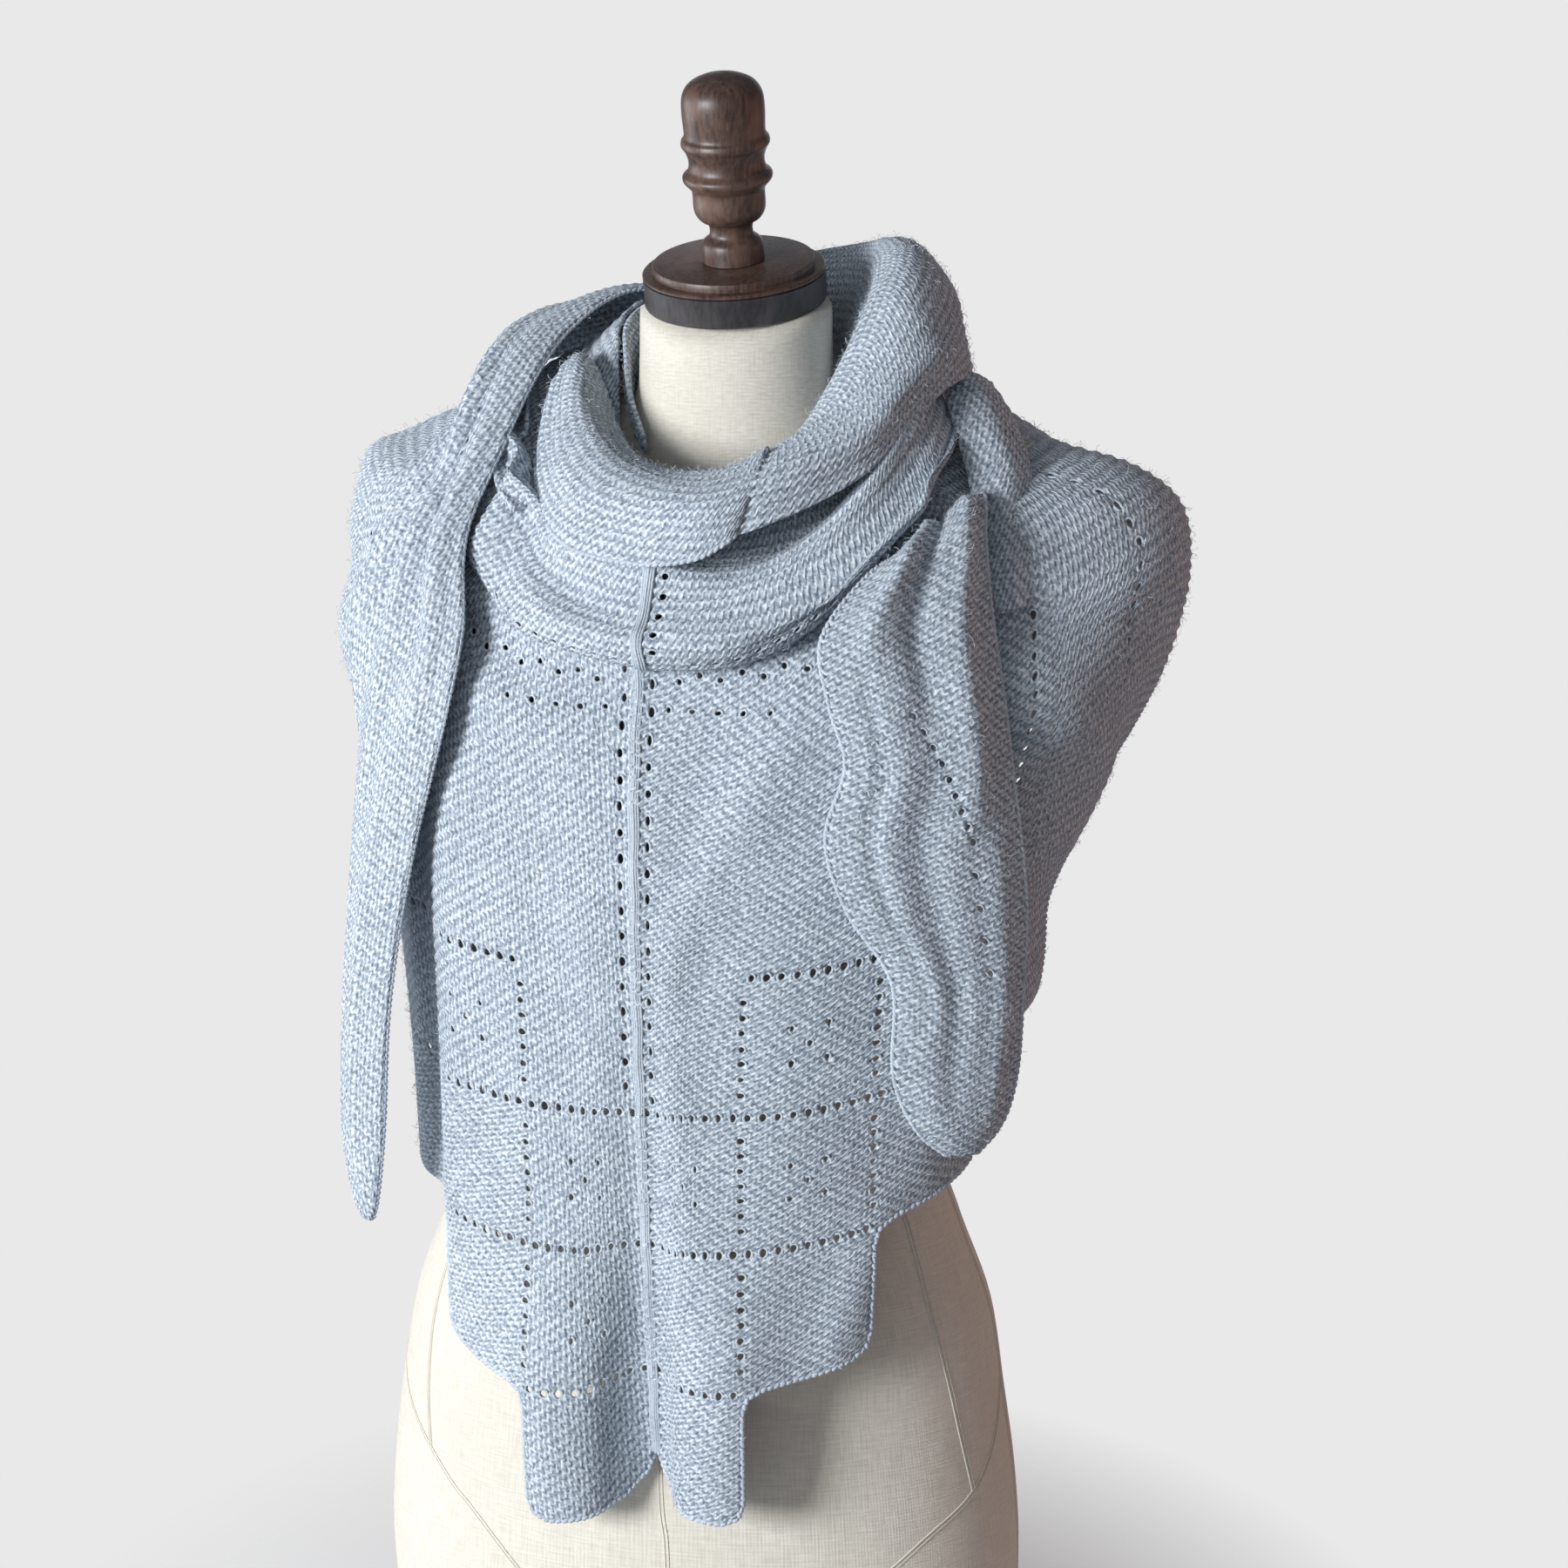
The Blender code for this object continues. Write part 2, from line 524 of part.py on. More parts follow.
def panel_eyelets():
    """Eyelets of the squares and of the middle, as centre and half sizes."""
    half = EYELET_HALF
    places = []
    share = [(i + 0.5) / EYELETS_A_SIDE for i in range(EYELETS_A_SIDE)]
    across_lines = [
        # column, rows whose line is pierced
        (0, (1, 2, 3)),
        (1, (2, 3, 4)),
        (2, (3,)),
    ]
    for side in (-1, 1):
        for column, rows in across_lines:
            for row in rows:
                for s in share:
                    u = side * SQUARE * (column + s)
                    if column == 2 and s > 0.8:
                        continue
                    places.append((u, HEM_TIP + ROW * row, half, half))
        for column, first, last in ((1, 1, 4), (2, 2, 4)):
            for row in range(first, last):
                for s in share:
                    places.append((side * SQUARE * column, HEM_TIP + ROW * (row + s), half, half))
        for i in range(SPINE_EYELET_ROWS):
            v = 0.392 + 0.006 + SPINE_EYELET_PITCH * (i + (0.5 if side > 0 else 0.0))
            near = abs(v - (HEM_TIP + 3 * ROW)) < 0.006
            if not near and v < 0.632:
                places.append((side * SPINE_EYELET_SIDE, v, 0.0022, 0.0032))
    kept = []
    for place in places:
        if all(math.hypot(place[0] - k[0], place[1] - k[1]) > 0.0062 for k in kept):
            kept.append(place)
    return kept


def build_front_panel(material):
    return cloth_wall("front_panel", panel_outline(), panel_eyelets(), 0.0215, drape_point, material)


def build_shoulder(side, material):
    """Part of the drape over one shoulder, with its three steps of hem."""
    start = SQUARE * PANEL_COLUMNS + SEAM_GAP
    end = SQUARE * (PANEL_COLUMNS + 3)
    corners = [(start, level) for level in reversed(seam_levels(HEM_TIP + ROW * PANEL_COLUMNS))]
    for k in range(PANEL_COLUMNS, PANEL_COLUMNS + 3):
        level = HEM_TIP + ROW * k
        if k > PANEL_COLUMNS:
            corners.append((SQUARE * k, level))
        if k < PANEL_COLUMNS + 2:
            corners.append((SQUARE * (k + 1), level))
    corners += [(end, level) for level in seam_levels(HEM_TIP + ROW * (PANEL_COLUMNS + 2))]
    outline = [(side * u, v) for u, v in corners]
    if side < 0:
        outline.reverse()
    holes = []
    for i in range(14):
        holes.append((side * SQUARE * 4, HEM_TIP + ROW * 5 + ROW * (i + 0.5) / EYELETS_A_SIDE,
                      EYELET_HALF, EYELET_HALF))
    name = "shoulder_right" if side > 0 else "shoulder_left"
    return cloth_wall(name, outline, holes, 0.030, drape_point, material)


def build_back_wing(side, material):
    """Wing behind one shoulder; the right one lies over the left one at the nape."""
    start = SQUARE * (PANEL_COLUMNS + 3) + SEAM_GAP
    end = half_round(side)
    last = end + 0.030 if side > 0 else end - 0.004
    foot = HEM_TIP + ROW * 6

    def place(u, v):
        reach = abs(u)
        lift = 0.0
        if side > 0:
            lift = 0.0045 * float(np.clip((reach - end + 0.07) / 0.06, 0.0, 1.0))
        if reach > end:
            return drape_point(-side * (half_round(-side) - (reach - end)), v, lift)
        return drape_point(side * reach, v, lift)

    step = SQUARE * (PANEL_COLUMNS + 4)
    corners = [(start, level) for level in reversed(seam_levels(foot))]
    corners += [(step, foot), (step + 0.004, foot + 0.028), (last, foot + 0.036), (last, DRAPE_TOP)]
    flat = [(side * u, v) for u, v in corners]
    if side < 0:
        flat.reverse()
    name = "wing_right_back" if side > 0 else "wing_left_back"
    return cloth_wall(name, flat, [], 0.024, place, material)


def build_cowl_fold(material):
    net = []
    for angle in np.linspace(COWL_FOLD[0][0], COWL_FOLD[-1][0], 24):
        _, top_r, top_z, bulge_r, bulge_z, foot_z = table_at(COWL_FOLD, angle)
        line = drape_profile(angle)
        order = np.argsort(line[:, 1])
        under = np.interp([bulge_z, foot_z], line[order, 1], line[order, 0])
        bulge = max(bulge_r, under[0] + WALL + 0.005)
        foot = under[1] + WALL + 0.0007
        top = min(top_r, bulge - 0.012)
        net.append([
            polar(angle, top, top_z),
            polar(angle, top + (bulge - top) * 0.62, top_z + (bulge_z - top_z) * 0.25 + 0.002),
            polar(angle, bulge, bulge_z),
            polar(angle, (bulge + foot) / 2 + 0.001, (bulge_z + foot_z) / 2 - 0.001),
            polar(angle, foot, foot_z),
        ])
    return strip_wall("cowl_fold", net, 30, 8, material)


def band_net(rows):
    """Sections round the neck; a leaning section turns further at each point."""
    net = []
    for row in rows:
        count = (len(row) - 2) // 2
        net.append([polar(row[0] + row[1] * i, row[2 + 2 * i], row[3 + 2 * i]) for i in range(count)])
    return net


def tail_net(rows):
    """Sections of a tail: a full, softly rounded strip."""
    rows = np.asarray(rows, float)
    middle = (rows[:, 0:3] + rows[:, 3:6]) / 2
    net = []
    for i, row in enumerate(rows):
        outer, inner, full = row[0:3], row[3:6], row[6]
        way = middle[min(i + 1, len(rows) - 1)] - middle[max(i - 1, 0)]
        across = inner - outer
        out = np.cross(across, way)
        out /= np.linalg.norm(out)
        centre = middle[i] - np.array([0.0, 0.0, min(middle[i][2], 0.70)])
        if np.dot(out, centre) < 0:
            out = -out
        net.append([
            outer,
            outer + across * 0.25 + out * full * 0.8,
            outer + across * 0.50 + out * full,
            outer + across * 0.75 + out * full * 0.8,
            inner,
        ])
    return net


# The form

def ring_points(row, sides):
    z_front, z_side, z_back, wide, front, back, middle = row
    turn = np.linspace(0.0, 2 * math.pi, sides, endpoint=False)
    s, c = np.sin(turn), np.cos(turn)
    power = 2.0 / 2.12
    x = wide * np.sign(s) * np.abs(s)**power + middle
    y = np.where(c > 0, -front * np.abs(c)**power, back * np.abs(c)**power)
    z = np.where(c > 0, z_side + (z_front - z_side) * c**2, z_side + (z_back - z_side) * c**2)
    return np.column_stack([x, y, z])


def loft(name, rings, material):
    sides = len(rings[0])
    verts = [p for ring in rings for p in ring]
    faces = []
    for k in range(len(rings) - 1):
        for i in range(sides):
            a, b = k * sides + i, k * sides + (i + 1) % sides
            faces += [(a, b, b + sides), (a, b + sides, a + sides)]
    for k, order in ((0, 1), (len(rings) - 1, -1)):
        centre = len(verts)
        verts.append(np.mean(rings[k], axis=0))
        for i in range(sides):
            a, b = k * sides + i, k * sides + (i + 1) % sides
            faces.append((centre, b, a) if order > 0 else (centre, a, b))
    return finish_object(name, verts, faces, material)


def build_form(linen):
    rings = smooth_run(np.array(FORM_RINGS), 31)
    return loft("torso", [ring_points(row, 32) for row in rings], linen)


def tilted(points):
    """Points given from the middle of the neck top, leaning forward with the neck."""
    c, s = math.cos(NECK_TILT), math.sin(NECK_TILT)
    moved = []
    for x, y, z in points:
        moved.append((NECK_X + x, y * c - z * s, NECK_TOP + y * s + z * c))
    return moved


def turned(name, outline, sides, material):
    rings = []
    for height, radius in outline:
        turn = np.linspace(0.0, 2 * math.pi, sides, endpoint=False)
        ring = [(radius * math.cos(t), radius * math.sin(t), height) for t in turn]
        rings.append(np.array(tilted(ring)))
    return loft(name, rings, material)


def build_base(wood):
    rings = []
    for height, inset in ((0.0, 0.002), (0.002, 0.0), (BASE_HEIGHT - 0.002, 0.0), (BASE_HEIGHT, 0.002)):
        turn = np.linspace(0.0, 2 * math.pi, 32, endpoint=False)
        x = (BASE_HALF_WIDTH - inset) * np.cos(turn) + FORM_RINGS[0][6]
        y = (BASE_HALF_DEPTH - inset) * np.sin(turn)
        rings.append(np.column_stack([x, y, np.full(32, height)]))
    return loft("base_board", rings, wood)


def build_cap(wood):
    r, h = CAP_RADIUS, CAP_HEIGHT
    outline = [(0.0006, r - 0.0015), (0.002, r), (h - 0.0015, r), (h, r - 0.0015),
               (h, CAP_STEP_RADIUS), (h + CAP_STEP_HEIGHT - 0.001, CAP_STEP_RADIUS),
               (h + CAP_STEP_HEIGHT, CAP_STEP_RADIUS - 0.001)]
    return turned("neck_cap", outline, 32, wood)


def build_finial(wood):
    start = CAP_HEIGHT + CAP_STEP_HEIGHT + 0.0004
    outline = [(start + share * FINIAL_LENGTH, radius) for share, radius in FINIAL_OUTLINE]
    outline.append((start + FINIAL_LENGTH, 0.0035))
    return turned("finial", outline, 20, wood)


def main():
    clear_scene()
    wool = make_material("wool_knit", (0.42, 0.48, 0.56), 0.9)
    linen = make_material("linen", (0.72, 0.68, 0.58), 0.85)
    wood = make_material("dark_wood", (0.055, 0.035, 0.027), 0.5)
    build_base(wood)
    build_form(linen)
    build_cap(wood)
    build_finial(wood)
    build_front_panel(wool)
    for side in (-1, 1):
        build_shoulder(side, wool)
        build_back_wing(side, wool)
    build_cowl_fold(wool)
    strip_wall("cowl_flap", band_net(COWL_FLAP), 22, 9, wool)
    strip_wall("neck_band_right", band_net(BAND_RIGHT), 28, 9, wool)
    strip_wall("neck_band_left", band_net(BAND_LEFT), 18, 5, wool, wall=0.0015)
    strip_wall("tail_left", tail_net(TAIL_LEFT), 34, 7, wool, seat=WALL + 0.0020)
    strip_wall("tail_right", tail_net(TAIL_RIGHT), 30, 7, wool, seat=WALL + 0.0003, pressed=5)


main()
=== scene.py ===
# %% [markdown]
# # A hand-knitted shawl on a dress form
# The object is a triangular shawl in heathered grey-blue wool, worn point forward on
# a limbless linen dress form with a turned wooden cap and finial. It is knitted in
# garter stitch: low ridges with a wavy edge, about 5 mm apart. Lines of eyelets mark
# out squares along a stepped hem. The imported model gives the sizes. Each cloth piece
# here is a finer shell on the same tables, with real ridges, holes and loose fibres.

# %% Load the imported model
import math

import bpy
import numpy as np
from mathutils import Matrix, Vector
from mathutils.geometry import delaunay_2d_cdt


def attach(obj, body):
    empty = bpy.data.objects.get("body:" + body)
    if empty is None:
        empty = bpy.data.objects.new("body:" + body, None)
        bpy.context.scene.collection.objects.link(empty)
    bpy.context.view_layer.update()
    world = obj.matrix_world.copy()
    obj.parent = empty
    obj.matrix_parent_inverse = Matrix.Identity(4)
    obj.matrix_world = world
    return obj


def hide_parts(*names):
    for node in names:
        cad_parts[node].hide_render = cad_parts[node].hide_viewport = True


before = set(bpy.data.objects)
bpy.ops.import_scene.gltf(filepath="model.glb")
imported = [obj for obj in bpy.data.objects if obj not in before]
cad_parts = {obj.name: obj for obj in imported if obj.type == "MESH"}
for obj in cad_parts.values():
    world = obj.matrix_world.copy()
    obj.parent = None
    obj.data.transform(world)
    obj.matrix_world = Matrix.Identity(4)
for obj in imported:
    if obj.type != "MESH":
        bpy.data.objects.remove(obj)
bpy.context.view_layer.update()
scene = bpy.context.scene
rng = np.random.default_rng(11)

# %% [markdown]
# ## Camera, light and floor
# The photograph was taken from a little to the right of the middle and from above,
# with a lens of about 67 mm. Soft window light comes from the upper left, and a faint
# warm light comes back from the right. A pale floor and a pale surround are enough.

# %% Camera at the photograph's viewing angle
CAMERA_TURN = math.radians(13.0)
CAMERA_PITCH = math.radians(13.4)
CAMERA_AWAY = 1.5
CAMERA_SIDE = 0.033
CAMERA_HEIGHT = 0.89

sideways = Vector((math.cos(CAMERA_TURN), math.sin(CAMERA_TURN), 0.0))
away = Vector((math.sin(CAMERA_TURN), -math.cos(CAMERA_TURN), 0.0))
look = -away * math.cos(CAMERA_PITCH) + Vector((0.0, 0.0, -math.sin(CAMERA_PITCH)))
lens = bpy.data.cameras.new("photo_camera")
lens.sensor_width = 36.0
lens.lens = 67.04
camera = bpy.data.objects.new("photo_camera", lens)
camera.location = away * CAMERA_AWAY + sideways * CAMERA_SIDE + Vector((0.0, 0.0, CAMERA_HEIGHT))
camera.rotation_euler = look.to_track_quat("-Z", "Y").to_euler()
scene.collection.objects.link(camera)
scene.camera = camera
scene.view_settings.view_transform = "Standard"
print("camera at", [round(x, 3) for x in camera.location])

# %% Colours, node trees and finishes


def linear(code):
    """Linear colour of an sRGB hex code."""
    parts = [int(code[i:i + 2], 16) / 255 for i in (1, 3, 5)]
    return [p / 12.92 if p <= 0.04045 else ((p + 0.055) / 1.055) ** 2.4 for p in parts] + [1.0]


class Nodes:
    """Node tree; each method adds one node, and all but add give back its output."""

    def __init__(self, tree):
        self.tree = tree

    def add(self, kind, inputs=None, **settings):
        """Adds a node with its settings, input values and links."""
        node = self.tree.nodes.new(kind)
        for key, value in settings.items():
            setattr(node, key, value)
        for key, value in (inputs or {}).items():
            if isinstance(value, bpy.types.NodeSocket):
                self.tree.links.new(value, node.inputs[key])
            else:
                node.inputs[key].default_value = value
        return node

    def math(self, operation, *values):
        return self.add("ShaderNodeMath", dict(enumerate(values)), operation=operation).outputs[0]

    def noise(self, place, scale, detail, roughness=0.5):
        values = {"Vector": place, "Scale": scale, "Detail": detail, "Roughness": roughness}
        return self.add("ShaderNodeTexNoise", values).outputs[0]

    def ramp(self, value, low, high, bottom=0.0, top=1.0):
        values = {"Value": value, "From Min": low, "From Max": high, "To Min": bottom, "To Max": top}
        return self.add("ShaderNodeMapRange", values).outputs[0]

    def blend(self, share, under, over):
        """Colour between two colours, each a hex code or an output."""
        pair = [linear(c) if isinstance(c, str) else c for c in (under, over)]
        return self.add("ShaderNodeMix", {0: share, 6: pair[0], 7: pair[1]}, data_type="RGBA").outputs[2]

    def mix_shaders(self, share, first, second, result):
        mixed = self.add("ShaderNodeMixShader", {0: share, 1: first, 2: second})
        self.tree.links.new(mixed.outputs[0], self.tree.nodes[result].inputs["Surface"])


class Finish(Nodes):
    """Material on the principled shader, with the values given and object coordinates."""

    def __init__(self, name, values):
        self.material = bpy.data.materials.new(name)
        self.material.use_nodes = True
        super().__init__(self.material.node_tree)
        self.shader = self.tree.nodes["Principled BSDF"]
        for key, value in values.items():
            self.shader.inputs[key].default_value = value
        self.place = self.add("ShaderNodeTexCoord").outputs["Object"]

    def complete(self, colour, height, strength, distance):
        """The material, once its colour and its bump are joined to the shader."""
        bump = self.add("ShaderNodeBump", {"Height": height, "Strength": strength, "Distance": distance})
        self.tree.links.new(colour, self.shader.inputs["Base Color"])
        self.tree.links.new(bump.outputs[0], self.shader.inputs["Normal"])
        return self.material


# %% Lights
LAMPS = [
    # name, place, aim, size, watts, colour
    ("window", (-1.55, -2.25, 0.95), (0.0, 0.0, 0.45), 0.9, 93.0, "#fbfcff"),
    ("left_fill", (-2.4, 0.1, 0.6), (0.0, 0.0, 0.4), 1.2, 22.0, "#f6f9ff"),
    ("front_fill", (-0.4, -2.6, 0.6), (0.0, 0.0, 0.5), 2.2, 8.0, "#f2f6ff"),
    ("back_fill", (-0.4, 2.6, 0.9), (0.0, 0.0, 0.5), 2.0, 14.0, "#f4f6ff"),
    ("warm_bounce", (1.7, 0.5, 0.6), (0.1, 0.0, 0.55), 1.2, 5.5, "#f0a582"),
]
for name, place, aim, size, watts, colour in LAMPS:
    lamp = bpy.data.lights.new(name, "AREA")
    lamp.size = size
    lamp.energy = watts
    lamp.color = linear(colour)[:3]
    holder = bpy.data.objects.new(name, lamp)
    holder.location = place
    holder.rotation_euler = (Vector(aim) - Vector(place)).to_track_quat("-Z", "Y").to_euler()
    scene.collection.objects.link(holder)

surround = bpy.data.worlds.new("pale_surround")
surround.use_nodes = True
air = Nodes(surround.node_tree)
backdrop = air.tree.nodes["Background"]
backdrop.inputs["Color"].default_value = linear("#e9e9e9")
room = air.add("ShaderNodeBackground", {"Color": linear("#e4e8f0"), "Strength": 0.22})
seen = air.add("ShaderNodeLightPath").outputs["Is Camera Ray"]
air.mix_shaders(seen, room.outputs[0], backdrop.outputs[0], "World Output")
scene.world = surround
print(len(LAMPS), "lamps and a pale surround")

# %% Floor that fades into the surround
FLOOR_HALF = 3.0
FADE_FROM, FADE_TO = 0.16, 0.42
paper = Finish("matt_white_paper_floor", {"Base Color": linear("#f0f0f0"), "Roughness": 0.95})
far = paper.add("ShaderNodeVectorMath", {0: paper.place}, operation="LENGTH").outputs["Value"]
clear = paper.add("ShaderNodeBsdfTransparent").outputs[0]
paper.mix_shaders(paper.ramp(far, FADE_FROM, FADE_TO), paper.shader.outputs[0], clear, "Material Output")
floor_mesh = bpy.data.meshes.new("floor")
floor_mesh.from_pydata([(x * FLOOR_HALF, y * FLOOR_HALF, 0) for x, y in ((-1, -1), (1, -1), (1, 1), (-1, 1))],
                       [], [(0, 1, 2, 3)])
floor_mesh.materials.append(paper.material)
floor = bpy.data.objects.new("floor", floor_mesh)
scene.collection.objects.link(floor)

# %% [markdown]
# ## Reading the shawl's tables
# The shawl's shape is kept in short tables of sections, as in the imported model. One
# function reads a table smoothly between its rows, and another runs a smooth curve
# through the rows, so that a few named sizes give thousands of points.

# %% Smooth reading of tables


def table_at(rows, key):
    """Columns of a table at a key of its first column, smooth between the rows."""
    rows = np.asarray(rows, float)
    k = int(np.clip(np.searchsorted(rows[:, 0], key) - 1, 0, len(rows) - 2))
    here, there = rows[k], rows[k + 1]
    before, after = rows[max(k - 1, 0)], rows[min(k + 2, len(rows) - 1)]
    step = there[0] - here[0]
    t = float(np.clip((key - here[0]) / step, 0.0, 1.0))
    leave = (there - before) / (there[0] - before[0]) * step
    arrive = (after - here) / (after[0] - here[0]) * step
    return ((2 * t**3 - 3 * t**2 + 1) * here + (t**3 - 2 * t**2 + t) * leave
            + (3 * t**2 - 2 * t**3) * there + (t**3 - t**2) * arrive)


def smooth_run(points, count):
    """Points spaced evenly by row number on a smooth curve through the rows."""
    points = np.asarray(points, float)
    flat = points.reshape(len(points), -1)
    rows = np.column_stack([np.arange(len(points), dtype=float), flat])
    at = np.linspace(0.0, len(points) - 1.0, count)
    return np.array([table_at(rows, a)[1:] for a in at]).reshape((count,) + points.shape[1:])


def polar(angle, radius, height):
    """Point at an angle round the neck, counted from the front toward +X."""
    a = math.radians(angle)
    return np.array([NECK_X + radius * math.sin(a), -radius * math.cos(a), height])


# %% Sizes of the shawl and of its hanging part
WALL = 0.002
SQUARE = 0.068
ROW = 0.072
HEM_TIP = 0.181
PANEL_TOP = 0.656
DRAPE_TOP = 0.690
SPINE_X = -0.007
GATHER_LEVEL = 0.600
NECK_X = 0.009

DRAPE_LEVELS = [
    # level, rise_right, rise_left, rise_back, right, left, front, back, shift, fullness
    (0.165, 0.050, 0.012, 0.010, 0.160, 0.150, 0.137, 0.130, -0.007, 2.25),
    (0.250, 0.055, 0.020, 0.012, 0.165, 0.152, 0.140, 0.132, -0.007, 2.25),
    (0.325, 0.042, 0.020, 0.015, 0.168, 0.155, 0.142, 0.134, -0.007, 2.25),
    (0.400, 0.038, 0.016, 0.020, 0.176, 0.160, 0.144, 0.136, -0.005, 2.25),
    (0.470, 0.046, 0.030, 0.040, 0.190, 0.172, 0.1455, 0.138, -0.002, 2.20),
    (0.510, 0.060, 0.056, 0.055, 0.208, 0.188, 0.1455, 0.138, 0.003, 2.15),
    (0.550, 0.075, 0.074, 0.065, 0.225, 0.204, 0.1440, 0.136, 0.008, 2.10),
    (0.585, 0.083, 0.083, 0.078, 0.231, 0.208, 0.1400, 0.130, 0.010, 2.00),
    (0.615, 0.084, 0.082, 0.085, 0.214, 0.198, 0.1310, 0.118, 0.010, 1.85),
    (0.640, 0.077, 0.074, 0.088, 0.184, 0.176, 0.1230, 0.102, 0.009, 1.80),
    (0.662, 0.066, 0.064, 0.087, 0.146, 0.142, 0.1160, 0.085, 0.009, 1.85),
    (0.685, 0.052, 0.052, 0.078, 0.108, 0.106, 0.1080, 0.070, 0.009, 2.00),
]
CREASE_LEVELS = [
    # level, depth, taken_left, taken_right, drop_left
    (0.165, 0.026, 0.0080, 0.0170, 0.009),
    (0.260, 0.019, 0.0080, 0.0170, 0.008),
    (0.340, 0.010, 0.0070, 0.0170, 0.004),
    (0.430, 0.004, 0.0060, 0.0160, 0.000),
    (0.520, 0.001, 0.0040, 0.0110, 0.000),
    (0.600, 0.000, 0.0010, 0.0030, 0.000),
    (0.700, 0.000, 0.0000, 0.0000, 0.000),
]


# %% Half rings of the hanging cloth


def drape_ring(level, side):
    """Half ring of the drape at a level: points and lengths from the front."""
    row = table_at(DRAPE_LEVELS, level)
    rise_side = row[1] if side > 0 else row[2]
    wide = row[4] if side > 0 else row[5]
    turn = np.linspace(0.0, math.pi, 181)
    s, c = np.sin(turn), np.cos(turn)
    power = 2.0 / row[9]
    middle = np.where(c > 0, SPINE_X * c**2 + row[8] * s**2, row[8])
    x = side * wide * np.abs(s)**power + middle
    y = np.where(c > 0, -row[6] * np.abs(c)**power, row[7] * np.abs(c)**power)
    z = level + rise_side * np.abs(s)**2.5 + row[3] * (c < 0) * c**2
    points = np.column_stack([x, y, z])
    return points, run_lengths(points)


def run_lengths(points):
    step = np.linalg.norm(np.diff(points, axis=0), axis=1)
    return np.concatenate([[0.0], np.cumsum(step)])


HALF_ROUND = {side: drape_ring(GATHER_LEVEL, side)[1][-1] for side in (-1, 1)}
print("half rounds", {side: round(float(size), 3) for side, size in HALF_ROUND.items()})

# %% [markdown]
# ## A flat map of the cloth
# A knitter works flat, so the shawl is charted flat too: u is the distance round the
# body from the spine, and v the height. Each flat point has a place in space. The
# map is worked out once on a fine grid and then read by interpolation. The grid on
# the right runs on past the nape, where the right wing lies over the left one.

# %% Grid of the hanging part
LEVELS = np.arange(0.1500, 0.7001, 0.0025)
REACHES = np.arange(-0.6, 0.6001, 0.0025)


def drape_grid():
    grid = np.empty((len(LEVELS), len(REACHES), 3))
    for i, level in enumerate(LEVELS):
        crease = table_at(CREASE_LEVELS, level)
        rings = {side: drape_ring(level, side) for side in (-1, 1)}
        for side in (-1, 1):
            pick = REACHES >= 0 if side > 0 else REACHES < 0
            reach = np.abs(REACHES[pick])
            valley = np.exp(-(reach / 0.021)**2)
            beside = 1.0 - np.exp(-(reach / 0.030)**2)
            way = np.vstack([rings[side][0], rings[-side][0][::-1][1:]])
            length = run_lengths(way)
            reach = reach - crease[3 if side > 0 else 2] * beside
            if level > GATHER_LEVEL:
                reach = reach * rings[side][1][-1] / HALF_ROUND[side]
            at = np.column_stack([np.interp(reach, length, way[:, k]) for k in range(3)])
            at[:, 1] += crease[1] * valley
            if side < 0:
                at[:, 2] -= crease[4] * beside
            grid[i, pick] = at
    return grid


def read_grid(grid, row, column):
    """Point of a grid of points at fractional row and column numbers."""
    row = np.clip(row, 0.0, grid.shape[0] - 1.001)
    column = np.clip(column, 0.0, grid.shape[1] - 1.001)
    i, j = row.astype(int), column.astype(int)
    a, b = (row - i)[:, None], (column - j)[:, None]
    low = grid[i, j] * (1 - b) + grid[i, j + 1] * b
    high = grid[i + 1, j] * (1 - b) + grid[i + 1, j + 1] * b
    return low * (1 - a) + high * a


DRAPE = drape_grid()
print("drape grid", DRAPE.shape)
